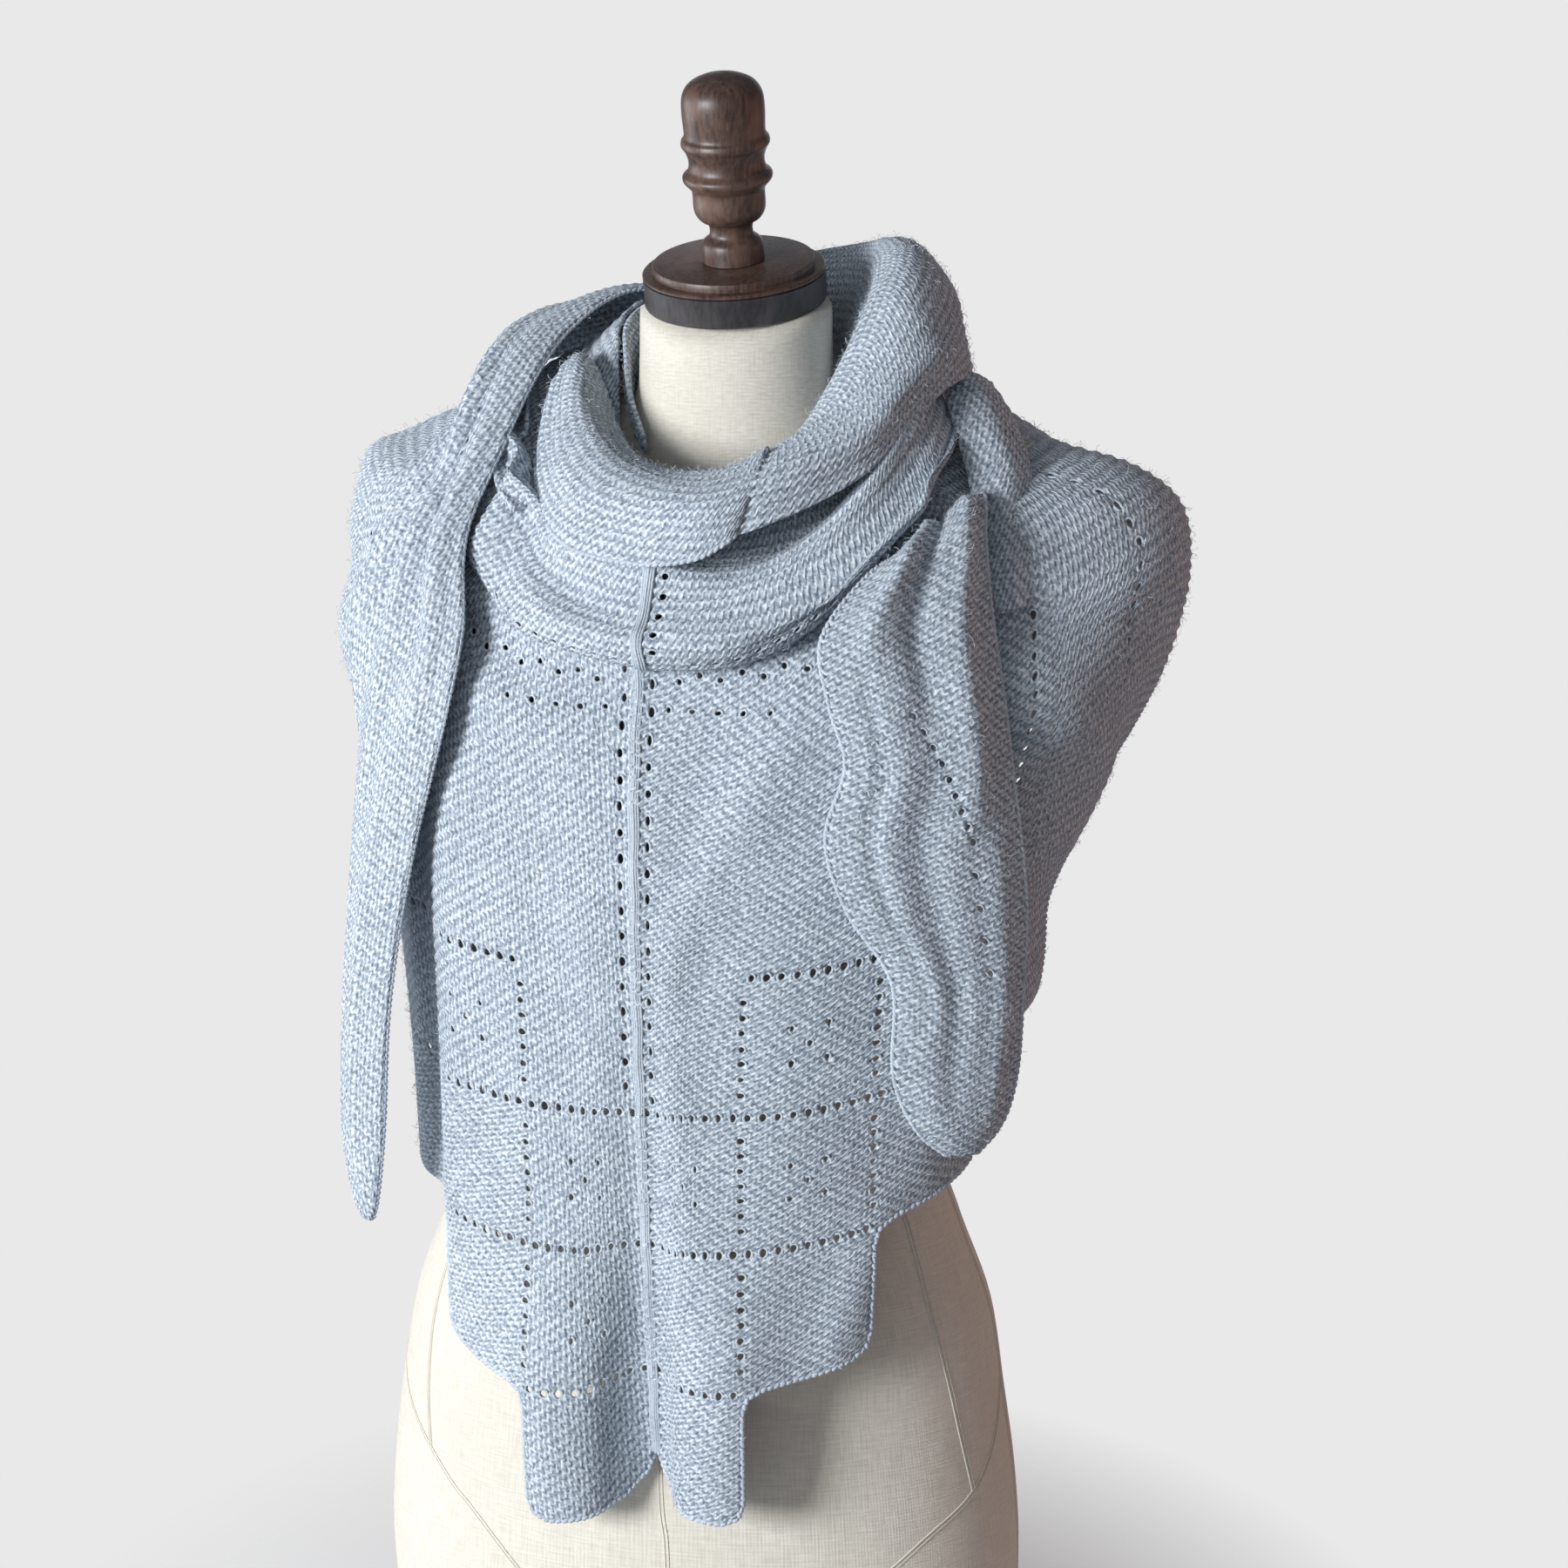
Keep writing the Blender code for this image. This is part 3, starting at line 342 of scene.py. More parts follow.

# %% Folds placed on a flat map
MANTLE_FOLDS = [
    # from_u, from_v, to_u, to_v, width, height
    (-0.150, 0.632, 0.120, 0.618, 0.009, 0.0040),
    (-0.120, 0.600, -0.030, 0.585, 0.016, 0.0040),
    (-0.060, 0.560, -0.030, 0.300, 0.020, -0.0030),
    (0.035, 0.590, 0.060, 0.330, 0.022, -0.0028),
    (0.080, 0.590, 0.022, 0.470, 0.017, 0.0034),
    (-0.105, 0.545, -0.118, 0.330, 0.016, 0.0040),
    (-0.140, 0.520, -0.150, 0.300, 0.012, -0.0070),
    (0.150, 0.500, 0.170, 0.330, 0.018, 0.0050),
    (0.140, 0.330, 0.110, 0.240, 0.016, 0.0042),
    (-0.102, 0.330, -0.100, 0.250, 0.018, 0.0042),
    (0.060, 0.290, 0.060, 0.160, 0.028, 0.0110),
    (-0.062, 0.290, -0.062, 0.160, 0.028, 0.0130),
    (-0.020, 0.270, -0.024, 0.175, 0.012, -0.0030),
    (0.190, 0.650, 0.330, 0.600, 0.014, 0.0060),
    (0.175, 0.610, 0.300, 0.560, 0.012, -0.0060),
    (0.185, 0.580, 0.290, 0.500, 0.016, 0.0070),
    (0.240, 0.660, 0.400, 0.640, 0.016, -0.0050),
    (0.230, 0.530, 0.300, 0.518, 0.015, -0.0042),
    (0.220, 0.490, 0.290, 0.480, 0.015, 0.0046),
    (0.210, 0.450, 0.280, 0.440, 0.015, -0.0040),
    (0.200, 0.410, 0.260, 0.405, 0.015, 0.0044),
    (0.360, 0.640, 0.380, 0.540, 0.018, -0.0060),
    (0.330, 0.560, 0.370, 0.440, 0.018, 0.0060),
    (-0.180, 0.640, -0.330, 0.610, 0.015, 0.0065),
    (-0.200, 0.600, -0.300, 0.540, 0.014, -0.0065),
    (-0.230, 0.570, -0.270, 0.470, 0.017, 0.0060),
    (-0.330, 0.620, -0.350, 0.520, 0.018, -0.0060),
    (-0.260, 0.660, -0.420, 0.640, 0.015, 0.0050),
    (0.430, 0.680, 0.400, 0.620, 0.014, 0.0050),
    (-0.420, 0.680, -0.400, 0.620, 0.014, 0.0050),
]


def fold_height(table, u, v):
    """How far the folds lift the cloth at flat points; a fold tapers to its ends."""
    total = np.zeros(len(u))
    for u0, v0, u1, v1, width, height in table:
        du, dv = u1 - u0, v1 - v0
        t = ((u - u0) * du + (v - v0) * dv) / (du * du + dv * dv)
        near = np.clip(t, 0.0, 1.0)
        gap = np.hypot(u - u0 - du * near, v - v0 - dv * near)
        total += height * np.exp(-(gap / width)**2) * np.sqrt(np.sin(math.pi * (0.08 + 0.84 * near)))
    return total


def mantle_base(u, v):
    row = (v - LEVELS[0]) / (LEVELS[1] - LEVELS[0])
    column = (u - REACHES[0]) / (REACHES[1] - REACHES[0])
    return read_grid(DRAPE, row, column)


def surface_normal(place, u, v, reach=0.002):
    """Outward normal of a mapped cloth at flat points."""
    along_u = place(u + reach, v) - place(u - reach, v)
    along_v = place(u, v + reach) - place(u, v - reach)
    normal = np.cross(along_u, along_v)
    return normal / np.maximum(np.linalg.norm(normal, axis=1, keepdims=True), 1e-12)


def mantle_place(u, v):
    overlap = 0.0045 * np.clip((u - HALF_ROUND[1] + 0.07) / 0.06, 0.0, 1.0)
    lift = fold_height(MANTLE_FOLDS, u, v) + overlap
    return mantle_base(u, v) + surface_normal(mantle_base, u, v, 0.006) * lift[:, None]


print(len(MANTLE_FOLDS), "folds on the hanging part")

# %% [markdown]
# ## Knitting a shell from a flat chart
# Every cloth piece is made the same way. A flat outline and its eyelets are filled
# with points along the knit's ridges, every other line a crest and the next one a
# groove, so that the triangles' edges follow the ridges. The points go to their
# places in space, crests out and grooves in. A second skin behind gives the wool its
# thickness. A UV map counts stitches along a ridge and ridges across, for the
# material to draw each stitch. Displacing a plain mesh would need ten times the
# triangles for the same ridges.

# %% Sizes of the knit
RIDGE = 0.0048
STITCH = 0.0033
RELIEF = 0.00055


def resample(outline, spacing):
    """Outline with its long edges divided."""
    result = []
    for i, (u0, v0) in enumerate(outline):
        u1, v1 = outline[(i + 1) % len(outline)]
        parts = max(1, int(math.ceil(math.hypot(u1 - u0, v1 - v0) / spacing - 0.01)))
        result += [(u0 + (u1 - u0) * k / parts, v0 + (v1 - v0) * k / parts) for k in range(parts)]
    return result


def within(u, v, outline):
    """True for flat points inside an outline."""
    odd = np.zeros(len(u), bool)
    for i in range(len(outline)):
        (u0, v0), (u1, v1) = outline[i], outline[i - 1]
        if v0 != v1:
            cross = ((v0 > v) != (v1 > v)) & (u < (u1 - u0) * (v - v0) / (v1 - v0) + u0)
            odd ^= cross
    return odd


def edge_gap(u, v, outline):
    """Distance of flat points from an outline."""
    best = np.full(len(u), 9.0)
    for i in range(len(outline)):
        (u0, v0), (u1, v1) = outline[i], outline[i - 1]
        du, dv = u1 - u0, v1 - v0
        t = np.clip(((u - u0) * du + (v - v0) * dv) / max(du * du + dv * dv, 1e-12), 0.0, 1.0)
        best = np.minimum(best, np.hypot(u - u0 - du * t, v - v0 - dv * t))
    return best


def ridge_count(u, v, slope):
    """Ridge number and stitch number of flat points; slope is the ridges' angle."""
    return ((v * np.cos(slope) - u * np.sin(slope)) / RIDGE,
            (u * np.cos(slope) + v * np.sin(slope)) / STITCH)


# %% Points along the ridges
def ridge_points(outline, slopes):
    """Flat points on the crests and in the grooves, inside an outline."""
    low, high = np.min(outline, axis=0), np.max(outline, axis=0)
    middle, half = (low + high) / 2, float(np.linalg.norm(high - low)) / 2
    kept = []
    for slope in sorted(set(float(s) for s in slopes.angles)):
        lines = np.arange(-math.ceil(half / RIDGE * 2), math.ceil(half / RIDGE * 2) + 1)
        steps = np.arange(-math.ceil(half / STITCH), math.ceil(half / STITCH) + 1)
        line, step = np.meshgrid(lines, steps, indexing="ij")
        start = math.floor(ridge_count(middle[0], middle[1], slope)[0]) * RIDGE
        begin = math.floor(ridge_count(middle[0], middle[1], slope)[1]) * STITCH
        across = (start + line * RIDGE / 2).ravel()
        along = (begin + (step + 0.5 * (line % 2)) * STITCH).ravel()
        u = along * math.cos(slope) - across * math.sin(slope)
        v = along * math.sin(slope) + across * math.cos(slope)
        keep = (u > low[0]) & (u < high[0]) & (v > low[1]) & (v < high[1])
        u, v = u[keep], v[keep]
        same = np.ones(len(u), bool)
        for du, dv in ((-0.0009, 0), (0.0009, 0), (0, -0.0009), (0, 0.0009)):
            same &= np.abs(slopes(u + du, v + dv) - slope) < 1e-6
        kept.append(np.column_stack([u[same], v[same]]))
    points = np.vstack(kept)
    inner = within(points[:, 0], points[:, 1], outline)
    points = points[inner]
    return points[edge_gap(points[:, 0], points[:, 1], outline) > 0.0012]


class Slopes:
    """Angle of the ridges over a chart: one angle, or a rule with its angles."""

    def __init__(self, angles, rule=None):
        self.angles = angles
        self.rule = rule

    def __call__(self, u, v):
        if self.rule is None:
            return np.full(len(u), float(self.angles[0]))
        return self.rule(u, v)


# %% Flat triangles of a chart
def chart_triangles(outline, holes, slopes, spacing):
    """Flat points and triangles inside an outline, with eyelets left open."""
    rim = resample(outline, spacing)
    points = ridge_points(outline, slopes)
    for u, v, half_u, half_v in holes:
        gap = np.hypot((points[:, 0] - u) / (half_u + 0.0010), (points[:, 1] - v) / (half_v + 0.0010))
        points = points[gap > 1.0]
    coords = list(rim)
    edges = [(i, (i + 1) % len(rim)) for i in range(len(rim))]
    for u, v, half_u, half_v in holes:
        start = len(coords)
        for k in range(8):
            turn = math.tau * (k + 0.5) / 8
            coords.append((u + half_u * math.cos(turn), v + half_v * math.sin(turn)))
        edges += [(start + k, start + (k + 1) % 8) for k in range(8)]
    coords += [tuple(p) for p in points]
    found = delaunay_2d_cdt(coords, edges, [], 1, 1e-7)
    flat = np.array([(p[0], p[1]) for p in found[0]])
    triangles = np.array([tuple(f) for f in found[2]])
    middle = flat[triangles].mean(axis=1)
    keep = within(middle[:, 0], middle[:, 1], outline)
    for u, v, half_u, half_v in holes:
        keep &= np.hypot((middle[:, 0] - u) / half_u, (middle[:, 1] - v) / half_v) > 0.96
    triangles = triangles[keep]
    used, number = np.unique(triangles, return_inverse=True)
    return flat[used], number.reshape(-1, 3)


# %% Shell of a chart
def knit_shell(name, outline, holes, slopes, place, finish, wall=WALL, spacing=0.003, raised=None):
    """Knitted shell of two skins on a flat chart. Returns the object and its outer skin."""
    flat, triangles = chart_triangles(outline, holes, slopes, spacing)
    u, v = flat[:, 0], flat[:, 1]
    ridge, _ = ridge_count(u, v, slopes(u, v))
    swell = RELIEF * np.cos(math.tau * ridge)
    if raised is not None:
        swell = swell + raised(u, v)
    normal = surface_normal(place, u, v)
    middle = place(u, v)
    outer = middle + normal * swell[:, None]
    inner = middle - normal * (wall + 0.6 * swell)[:, None]
    count = len(flat)
    sides = np.vstack([triangles[:, [0, 1]], triangles[:, [1, 2]], triangles[:, [2, 0]]])
    known = set(map(tuple, sides.tolist()))
    rim = np.array([(a, b) for a, b in known if (b, a) not in known])
    rim = rim[np.lexsort((rim[:, 1], rim[:, 0]))]
    faces = np.vstack([
        triangles,
        triangles[:, ::-1] + count,
        np.column_stack([rim[:, 0], rim[:, 0] + count, rim[:, 1] + count]),
        np.column_stack([rim[:, 0], rim[:, 1] + count, rim[:, 1]]),
    ])
    chart = np.vstack([flat, flat])
    corners = chart[faces]
    slope = slopes(corners[:, :, 0].mean(axis=1), corners[:, :, 1].mean(axis=1))[:, None]
    ridge, stitch = ridge_count(corners[:, :, 0], corners[:, :, 1], slope)
    item = mesh_object(name, np.vstack([outer, inner]), faces, finish)
    knit = item.data.uv_layers.new(name="knit")
    knit.data.foreach_set("uv", np.column_stack([stitch.ravel(), ridge.ravel()]).ravel())
    return item, (outer, triangles, stitch)


def mesh_object(name, points, faces, finish):
    """Smooth-shaded object from arrays of points and triangles."""
    mesh = bpy.data.meshes.new(name)
    mesh.vertices.add(len(points))
    mesh.vertices.foreach_set("co", np.asarray(points, float).ravel())
    mesh.loops.add(len(faces) * 3)
    mesh.loops.foreach_set("vertex_index", np.asarray(faces).ravel().astype(np.int32))
    mesh.polygons.add(len(faces))
    mesh.polygons.foreach_set("loop_start", np.arange(0, len(faces) * 3, 3, dtype=np.int32))
    mesh.polygons.foreach_set("use_smooth", np.ones(len(faces), bool))
    mesh.update(calc_edges=True)
    mesh.validate()
    if finish is not None:
        mesh.materials.append(finish)
    item = bpy.data.objects.new(name, mesh)
    scene.collection.objects.link(item)
    return item


# %% [markdown]
# ## Finish: heathered wool in garter stitch
# The yarn is spun from pale and mid grey-blue fibres, so each stitch differs a little
# from the next. In garter stitch a ridge is a row of small bumps, with a wavy edge.
# The material draws the bumps from the stitch and ridge counts in the UV map, adds
# single fibres with fine noise, and gives the surface the soft sheen of wool. Its
# colour follows the bumps: painted shade in the grooves, painted light on the crests.

# %% Wool material


def stitches(wool, speck, pale, mid, deep):
    """Colour and height of garter stitch: wavy ridges, with a bump for each stitch. The colour follows the
    height: painted shade in the grooves, painted light on the crests.
    """
    chart = wool.add("ShaderNodeUVMap", uv_map="knit").outputs[0]
    stitch, ridge, _ = wool.add("ShaderNodeSeparateXYZ", {0: chart}).outputs
    stray = wool.math("MULTIPLY_ADD", wool.noise(wool.place, 150.0, 1.0), 0.5, -0.25)
    turn = wool.math("MULTIPLY", wool.math("ADD", stitch, stray), math.tau)
    drift = wool.math("MULTIPLY_ADD", wool.noise(wool.place, 260.0, 1.0), 0.8, -0.4)
    wavy = wool.math("MULTIPLY_ADD", wool.math("SINE", turn), 0.21, wool.math("ADD", drift, ridge))
    crest = wool.math("MULTIPLY_ADD", wool.math("COSINE", wool.math("MULTIPLY", wavy, math.tau)), 0.5, 0.5)
    loop = wool.math("ABSOLUTE", wool.math("SINE", wool.math("MULTIPLY", turn, 0.5)))
    raised = wool.math("MULTIPLY", crest, wool.math("MULTIPLY_ADD", loop, 0.5, 0.5))
    purl = wool.math("MULTIPLY", wool.math("SUBTRACT", 1.0, loop), wool.math("SUBTRACT", 1.0, crest))
    height = wool.math("MULTIPLY_ADD", purl, 0.45, raised)
    # Colour follows the height as well as the heather specks: the grooves get the deep colour as painted
    # shade, the crests the pale one as painted light.
    light = wool.math("MULTIPLY_ADD", height, 0.72, wool.math("MULTIPLY_ADD", speck, 0.50, -0.04))
    under = wool.blend(wool.ramp(light, 0.0, 0.5), deep, mid)
    return wool.blend(wool.ramp(light, 0.5, 0.95), under, pale), height


def wool_finish(name, pale, mid, deep=None):
    """Heathered woollen yarn; one with a deep colour also draws its stitches."""
    wool = Finish(name, {
        "Roughness": 0.92, "IOR": 1.54, "Specular IOR Level": 0.18, "Sheen Weight": 0.22,
        "Sheen Roughness": 0.45, "Sheen Tint": linear("#dfe8f4")})
    heather = wool.noise(wool.place, 620.0, 2.0, 0.65)
    patches = wool.noise(wool.place, 34.0, 2.0)
    speck = wool.ramp(heather, 0.34, 0.68)
    if deep:
        ground, stage = stitches(wool, speck, pale, mid, deep)
    else:
        ground, stage = wool.blend(patches, mid, pale), heather
    yarn = wool.blend(wool.math("MULTIPLY", speck, 0.10 if deep else 0.55), ground, pale)
    tone = wool.ramp(patches, 0.0, 1.0, 0.90, 1.10)
    toned = wool.add("ShaderNodeVectorMath", {0: yarn, "Scale": tone}, operation="SCALE").outputs[0]
    rough = wool.math("MULTIPLY_ADD", wool.noise(wool.place, 1900.0, 1.0), 0.35, stage)
    return wool.complete(toned, rough, 0.55, 0.0012)


# DEEP is the colour of the painted shade in the grooves and of the darkest specks.
PALE, MID, DEEP = "#dfe7ed", "#9ca8b5", "#5c6773"
knit_wool = wool_finish("hand_knitted_heathered_wool", PALE, MID, DEEP)
yarn_wool = wool_finish("heathered_wool_yarn", "#ced8e1", MID)
# A darker copy of the same yarn: painted shade on the strands round the eyelets and along the spine.
shaded_yarn_wool = wool_finish("heathered_wool_round_eyelets", "#cdd6de", "#95a1ad")
print("wool colours", PALE, MID, DEEP)

# %% [markdown]
# ## Geometry Nodes: strands of yarn and loose fibres
# Chain stitches along an edge, the strands round an eyelet, the spine and the sewn
# seams are all short pieces of yarn. The script lays down each one as a short path,
# and one tree gives every path its thickness. A second tree scatters loose fibres
# over a skin, which gives the wool its halo. Both end in real meshes.

# %% Tree that turns paths into strands


class GeometryTree(Nodes):
    """Geometry tree with a geometry input and output and named inputs."""

    def __init__(self, name, sockets):
        super().__init__(bpy.data.node_groups.new(name, "GeometryNodeTree"))
        for way in ("INPUT", "OUTPUT"):
            self.tree.interface.new_socket("Geometry", in_out=way, socket_type="NodeSocketGeometry")
        for label, kind in sockets.items():
            self.tree.interface.new_socket(label, in_out="INPUT", socket_type="NodeSocket" + kind)
        self.given = self.add("NodeGroupInput").outputs
        self.result = self.add("NodeGroupOutput")

    def complete(self, geometry):
        """Makes the tree's result of real meshes in the given finish."""
        real = self.add("GeometryNodeRealizeInstances", {0: geometry}).outputs[0]
        painted = self.add("GeometryNodeSetMaterial", {0: real, "Material": self.given["Finish"]})
        self.tree.links.new(painted.outputs[0], self.result.inputs[0])


yarn = GeometryTree("yarn_strands", {
    "Yarn Radius": "Float", "Taper": "Float", "Sides": "Int", "Finish": "Material"})
paths = yarn.add("GeometryNodeMeshToCurve", {0: yarn.given["Geometry"]}).outputs[0]
along = yarn.add("GeometryNodeSplineParameter").outputs["Factor"]
arch = yarn.math("SINE", yarn.math("MULTIPLY", along, math.pi))
slim = yarn.math("MULTIPLY", yarn.math("SUBTRACT", 1.0, arch), yarn.given["Taper"])
thick = yarn.math("MULTIPLY", yarn.math("SUBTRACT", 1.0, slim), yarn.given["Yarn Radius"])
ring = yarn.add("GeometryNodeCurvePrimitiveCircle", {
    "Resolution": yarn.given["Sides"], "Radius": 1.0}).outputs[0]
tube = yarn.add("GeometryNodeCurveToMesh", {
    "Curve": paths, "Profile Curve": ring, "Scale": thick, "Fill Caps": True}).outputs[0]
yarn.complete(yarn.add("GeometryNodeSetShadeSmooth", {0: tube}).outputs[0])
print("yarn tree", len(yarn.tree.nodes), "nodes")


def grown(tree, source, values, name):
    """Plain mesh object that a tree makes on a source object, which is then removed."""
    modifier = source.modifiers.new(name, "NODES")
    modifier.node_group = tree
    for item in tree.interface.items_tree:
        if item.in_out == "INPUT" and item.name in values:
            modifier[item.identifier] = values[item.name]
    depsgraph = bpy.context.evaluated_depsgraph_get()
    mesh = bpy.data.meshes.new_from_object(source.evaluated_get(depsgraph))
    mesh.name = name
    source.modifiers.remove(modifier)
    bpy.data.objects.remove(source)
    item = bpy.data.objects.new(name, mesh)
    scene.collection.objects.link(item)
    print(name, len(mesh.polygons), "faces", [round(size, 3) for size in item.dimensions])
    return item


def strands(name, runs, radius, finish, taper=0.45, sides=5, closed=False):
    """Yarn along each run of points."""
    points, edges = [], []
    for run in runs:
        start = len(points)
        points += [tuple(p) for p in run]
        edges += [(start + k, start + k + 1) for k in range(len(run) - 1)]
        if closed:
            edges.append((start + len(run) - 1, start))
    mesh = bpy.data.meshes.new(name + "_paths")
    mesh.from_pydata(points, edges, [])
    source = bpy.data.objects.new(name + "_paths", mesh)
    scene.collection.objects.link(source)
    values = {"Yarn Radius": radius, "Taper": taper, "Sides": sides, "Finish": finish}
    return grown(yarn.tree, source, values, name)


# %% Chain stitches along an edge


def chain_runs(points, normals, pitch, side=0.0008, rise=0.0007):
    """Short leaning runs, one stitch each, along a path of points with normals."""
    length = run_lengths(points)
    count = max(2, int(length[-1] / pitch))
    at = np.linspace(0.0, length[-1], count + 1)
    read = lambda rows, x: np.array([np.interp(x, length, rows[:, k]) for k in range(3)]).T
    runs = []
    for a, b in zip(at[:-1], at[1:]):
        spots = np.array([a - 0.2 * pitch, a + 0.3 * pitch, a + 0.7 * pitch, b + 0.2 * pitch])
        spots = np.clip(spots, 0, length[-1])
        p, n = read(points, spots), read(normals, spots)
        way = p[-1] - p[0]
        across = np.cross(n, way / max(np.linalg.norm(way), 1e-9))
        lean = np.array([-1.0, -0.4, 0.4, 1.0])[:, None] * side
        lift = np.array([-0.2, 1.0, 1.0, -0.2])[:, None] * rise
        runs.append(p + across * lean + n * lift)
    return runs


# %% Tree that scatters fibres over a skin
fibres = GeometryTree("loose_fibres", {
    "Fibres Per Area": "Float", "Fibre Length": "Float", "Fibre Width": "Float",
    "Seed": "Int", "Finish": "Material"})
seed, length = fibres.given["Seed"], fibres.given["Fibre Length"]
spots = fibres.add("GeometryNodeDistributePointsOnFaces", {
    "Mesh": fibres.given["Geometry"], "Density": fibres.given["Fibres Per Area"], "Seed": seed}).outputs
arc = fibres.add("GeometryNodeCurveQuadraticBezier", {
    "Resolution": 3, "Start": (0.0, 0.0, -0.1), "Middle": (0.1, 0.0, 0.55),
    "End": (0.75, 0.12, 0.62)}).outputs[0]
size = fibres.add("ShaderNodeCombineXYZ", {0: length, 1: length, 2: length}).outputs[0]
bent = fibres.add("GeometryNodeTransform", {0: arc, "Scale": size}).outputs[0]
width = fibres.add("ShaderNodeCombineXYZ", {1: fibres.given["Fibre Width"]}).outputs[0]
blade = fibres.add("GeometryNodeCurvePrimitiveLine", {"End": width}).outputs[0]
hair = fibres.add("GeometryNodeCurveToMesh", {"Curve": bent, "Profile Curve": blade}).outputs[0]
spin = fibres.add("FunctionNodeRandomValue", {
    0: (-0.6, -0.6, 0.0), 1: (0.6, 0.6, math.tau), "Seed": seed}, data_type="FLOAT_VECTOR").outputs[0]
turn = fibres.add("FunctionNodeEulerToRotation", {0: spin}).outputs[0]
facing = fibres.add("FunctionNodeRotateRotation", {0: spots["Rotation"], 1: turn},
                    rotation_space="LOCAL").outputs[0]
grow = fibres.add("FunctionNodeRandomValue", {2: 0.45, 3: 1.25, "Seed": seed}, data_type="FLOAT").outputs[1]
placed = fibres.add("GeometryNodeInstanceOnPoints", {
    "Points": spots["Points"], "Instance": hair, "Rotation": facing, "Scale": grow})
fibres.complete(placed.outputs[0])


def fuzz(name, skin, number, seed):
    """Loose fibres on an outer skin, about so many in all."""
    outer, triangles, _ = skin
    a, b, c = (outer[triangles[:, k]] for k in range(3))
    area = float(np.linalg.norm(np.cross(b - a, c - a), axis=1).sum() / 2)
    source = mesh_object(name + "_skin", outer, triangles, None)
    values = {"Fibres Per Area": number / area, "Fibre Length": 0.0036, "Fibre Width": 0.00016,
              "Seed": seed, "Finish": yarn_wool}
    return grown(fibres.tree, source, values, name)


# %% [markdown]
# ## The hanging part
# From the spine to the nape the shawl is one cloth. Its hem climbs in steps, one for
# each column of squares. Eyelets run along the squares' sides and in pairs beside
# the spine. Some squares hold five small holes, like the five on a die. One shell
# replaces five solids, so no seam shows.

# %% Outline of the hanging part
HEM_TOP = HEM_TIP + ROW * 6
SIDE_EDGE = SQUARE * 7 + 0.004


def mantle_outline():
    """Stepped hem, both wings and the top edge, with softened corners."""
    columns = 7
    corners = []
    for k in range(columns - 1, -1, -1):
        level = HEM_TIP + ROW * k
        corners += [(-SQUARE * (k + 1), level), (-SQUARE * k, level)]
    for k in range(columns):
        level = HEM_TIP + ROW * k
        corners += [(SQUARE * k, level), (SQUARE * (k + 1), level)]
    whole = [c for i, c in enumerate(corners) if i == 0 or math.dist(corners[i - 1], c) > 1e-6]
    whole = whole[1:-1]
    soft = [(-HALF_ROUND[-1] + 0.004, HEM_TOP + 0.036), (-SIDE_EDGE, HEM_TOP + 0.028)]
    for i in range(len(whole)):
        here = np.array(whole[i])
        if abs(here[0]) < 1e-6:
            soft += [(-0.016, HEM_TIP + 0.003), (-0.005, HEM_TIP + 0.012), (0.0, HEM_TIP + 0.026),
                     (0.005, HEM_TIP + 0.012), (0.016, HEM_TIP + 0.003)]
            continue
        before = np.array(whole[i - 1]) if i else np.array(soft[1])
        after = np.array(whole[i + 1] if i + 1 < len(whole) else (SIDE_EDGE, HEM_TOP + 0.028))
        ends = []
        for other in (before, after):
            way = other - here
            ends.append(here + way / np.linalg.norm(way) * 0.011)
        middle = (ends[0] + ends[1]) / 4 + here / 2
        soft += [tuple(ends[0]), tuple(middle), tuple(ends[1])]
    end = HALF_ROUND[1] + 0.030
    soft += [(SIDE_EDGE, HEM_TOP + 0.028), (end, HEM_TOP + 0.036), (end, DRAPE_TOP)]
    soft += [(SQUARE * 3, DRAPE_TOP), (SQUARE * 2.6, 0.672), (SQUARE * 2.0, PANEL_TOP)]
    soft += [(-SQUARE * 1.9, PANEL_TOP + 0.004), (-SQUARE * 2.5, 0.672), (-SQUARE * 3, DRAPE_TOP)]
    soft += [(-HALF_ROUND[-1] + 0.004, DRAPE_TOP)]
    return soft


MANTLE = mantle_outline()
print(len(MANTLE), "corners")

# %% Eyelets of the hanging part
EYELET = (0.0021, 0.0024)
EYELETS_A_SIDE = 9
EYELET_LINES = [
    # column, rows whose foot line is pierced
    (0, (1, 2, 3)),
    (1, (2, 3, 4)),
    (2, (3, 4)),
]
DIE_SQUARES = [
    # side, column, row
    (1, 1, 3), (1, 0, 2), (-1, 0, 2), (-1, 0, 1), (1, 1, 2), (-1, 1, 3), (1, 4, 5), (-1, 4, 5),
]


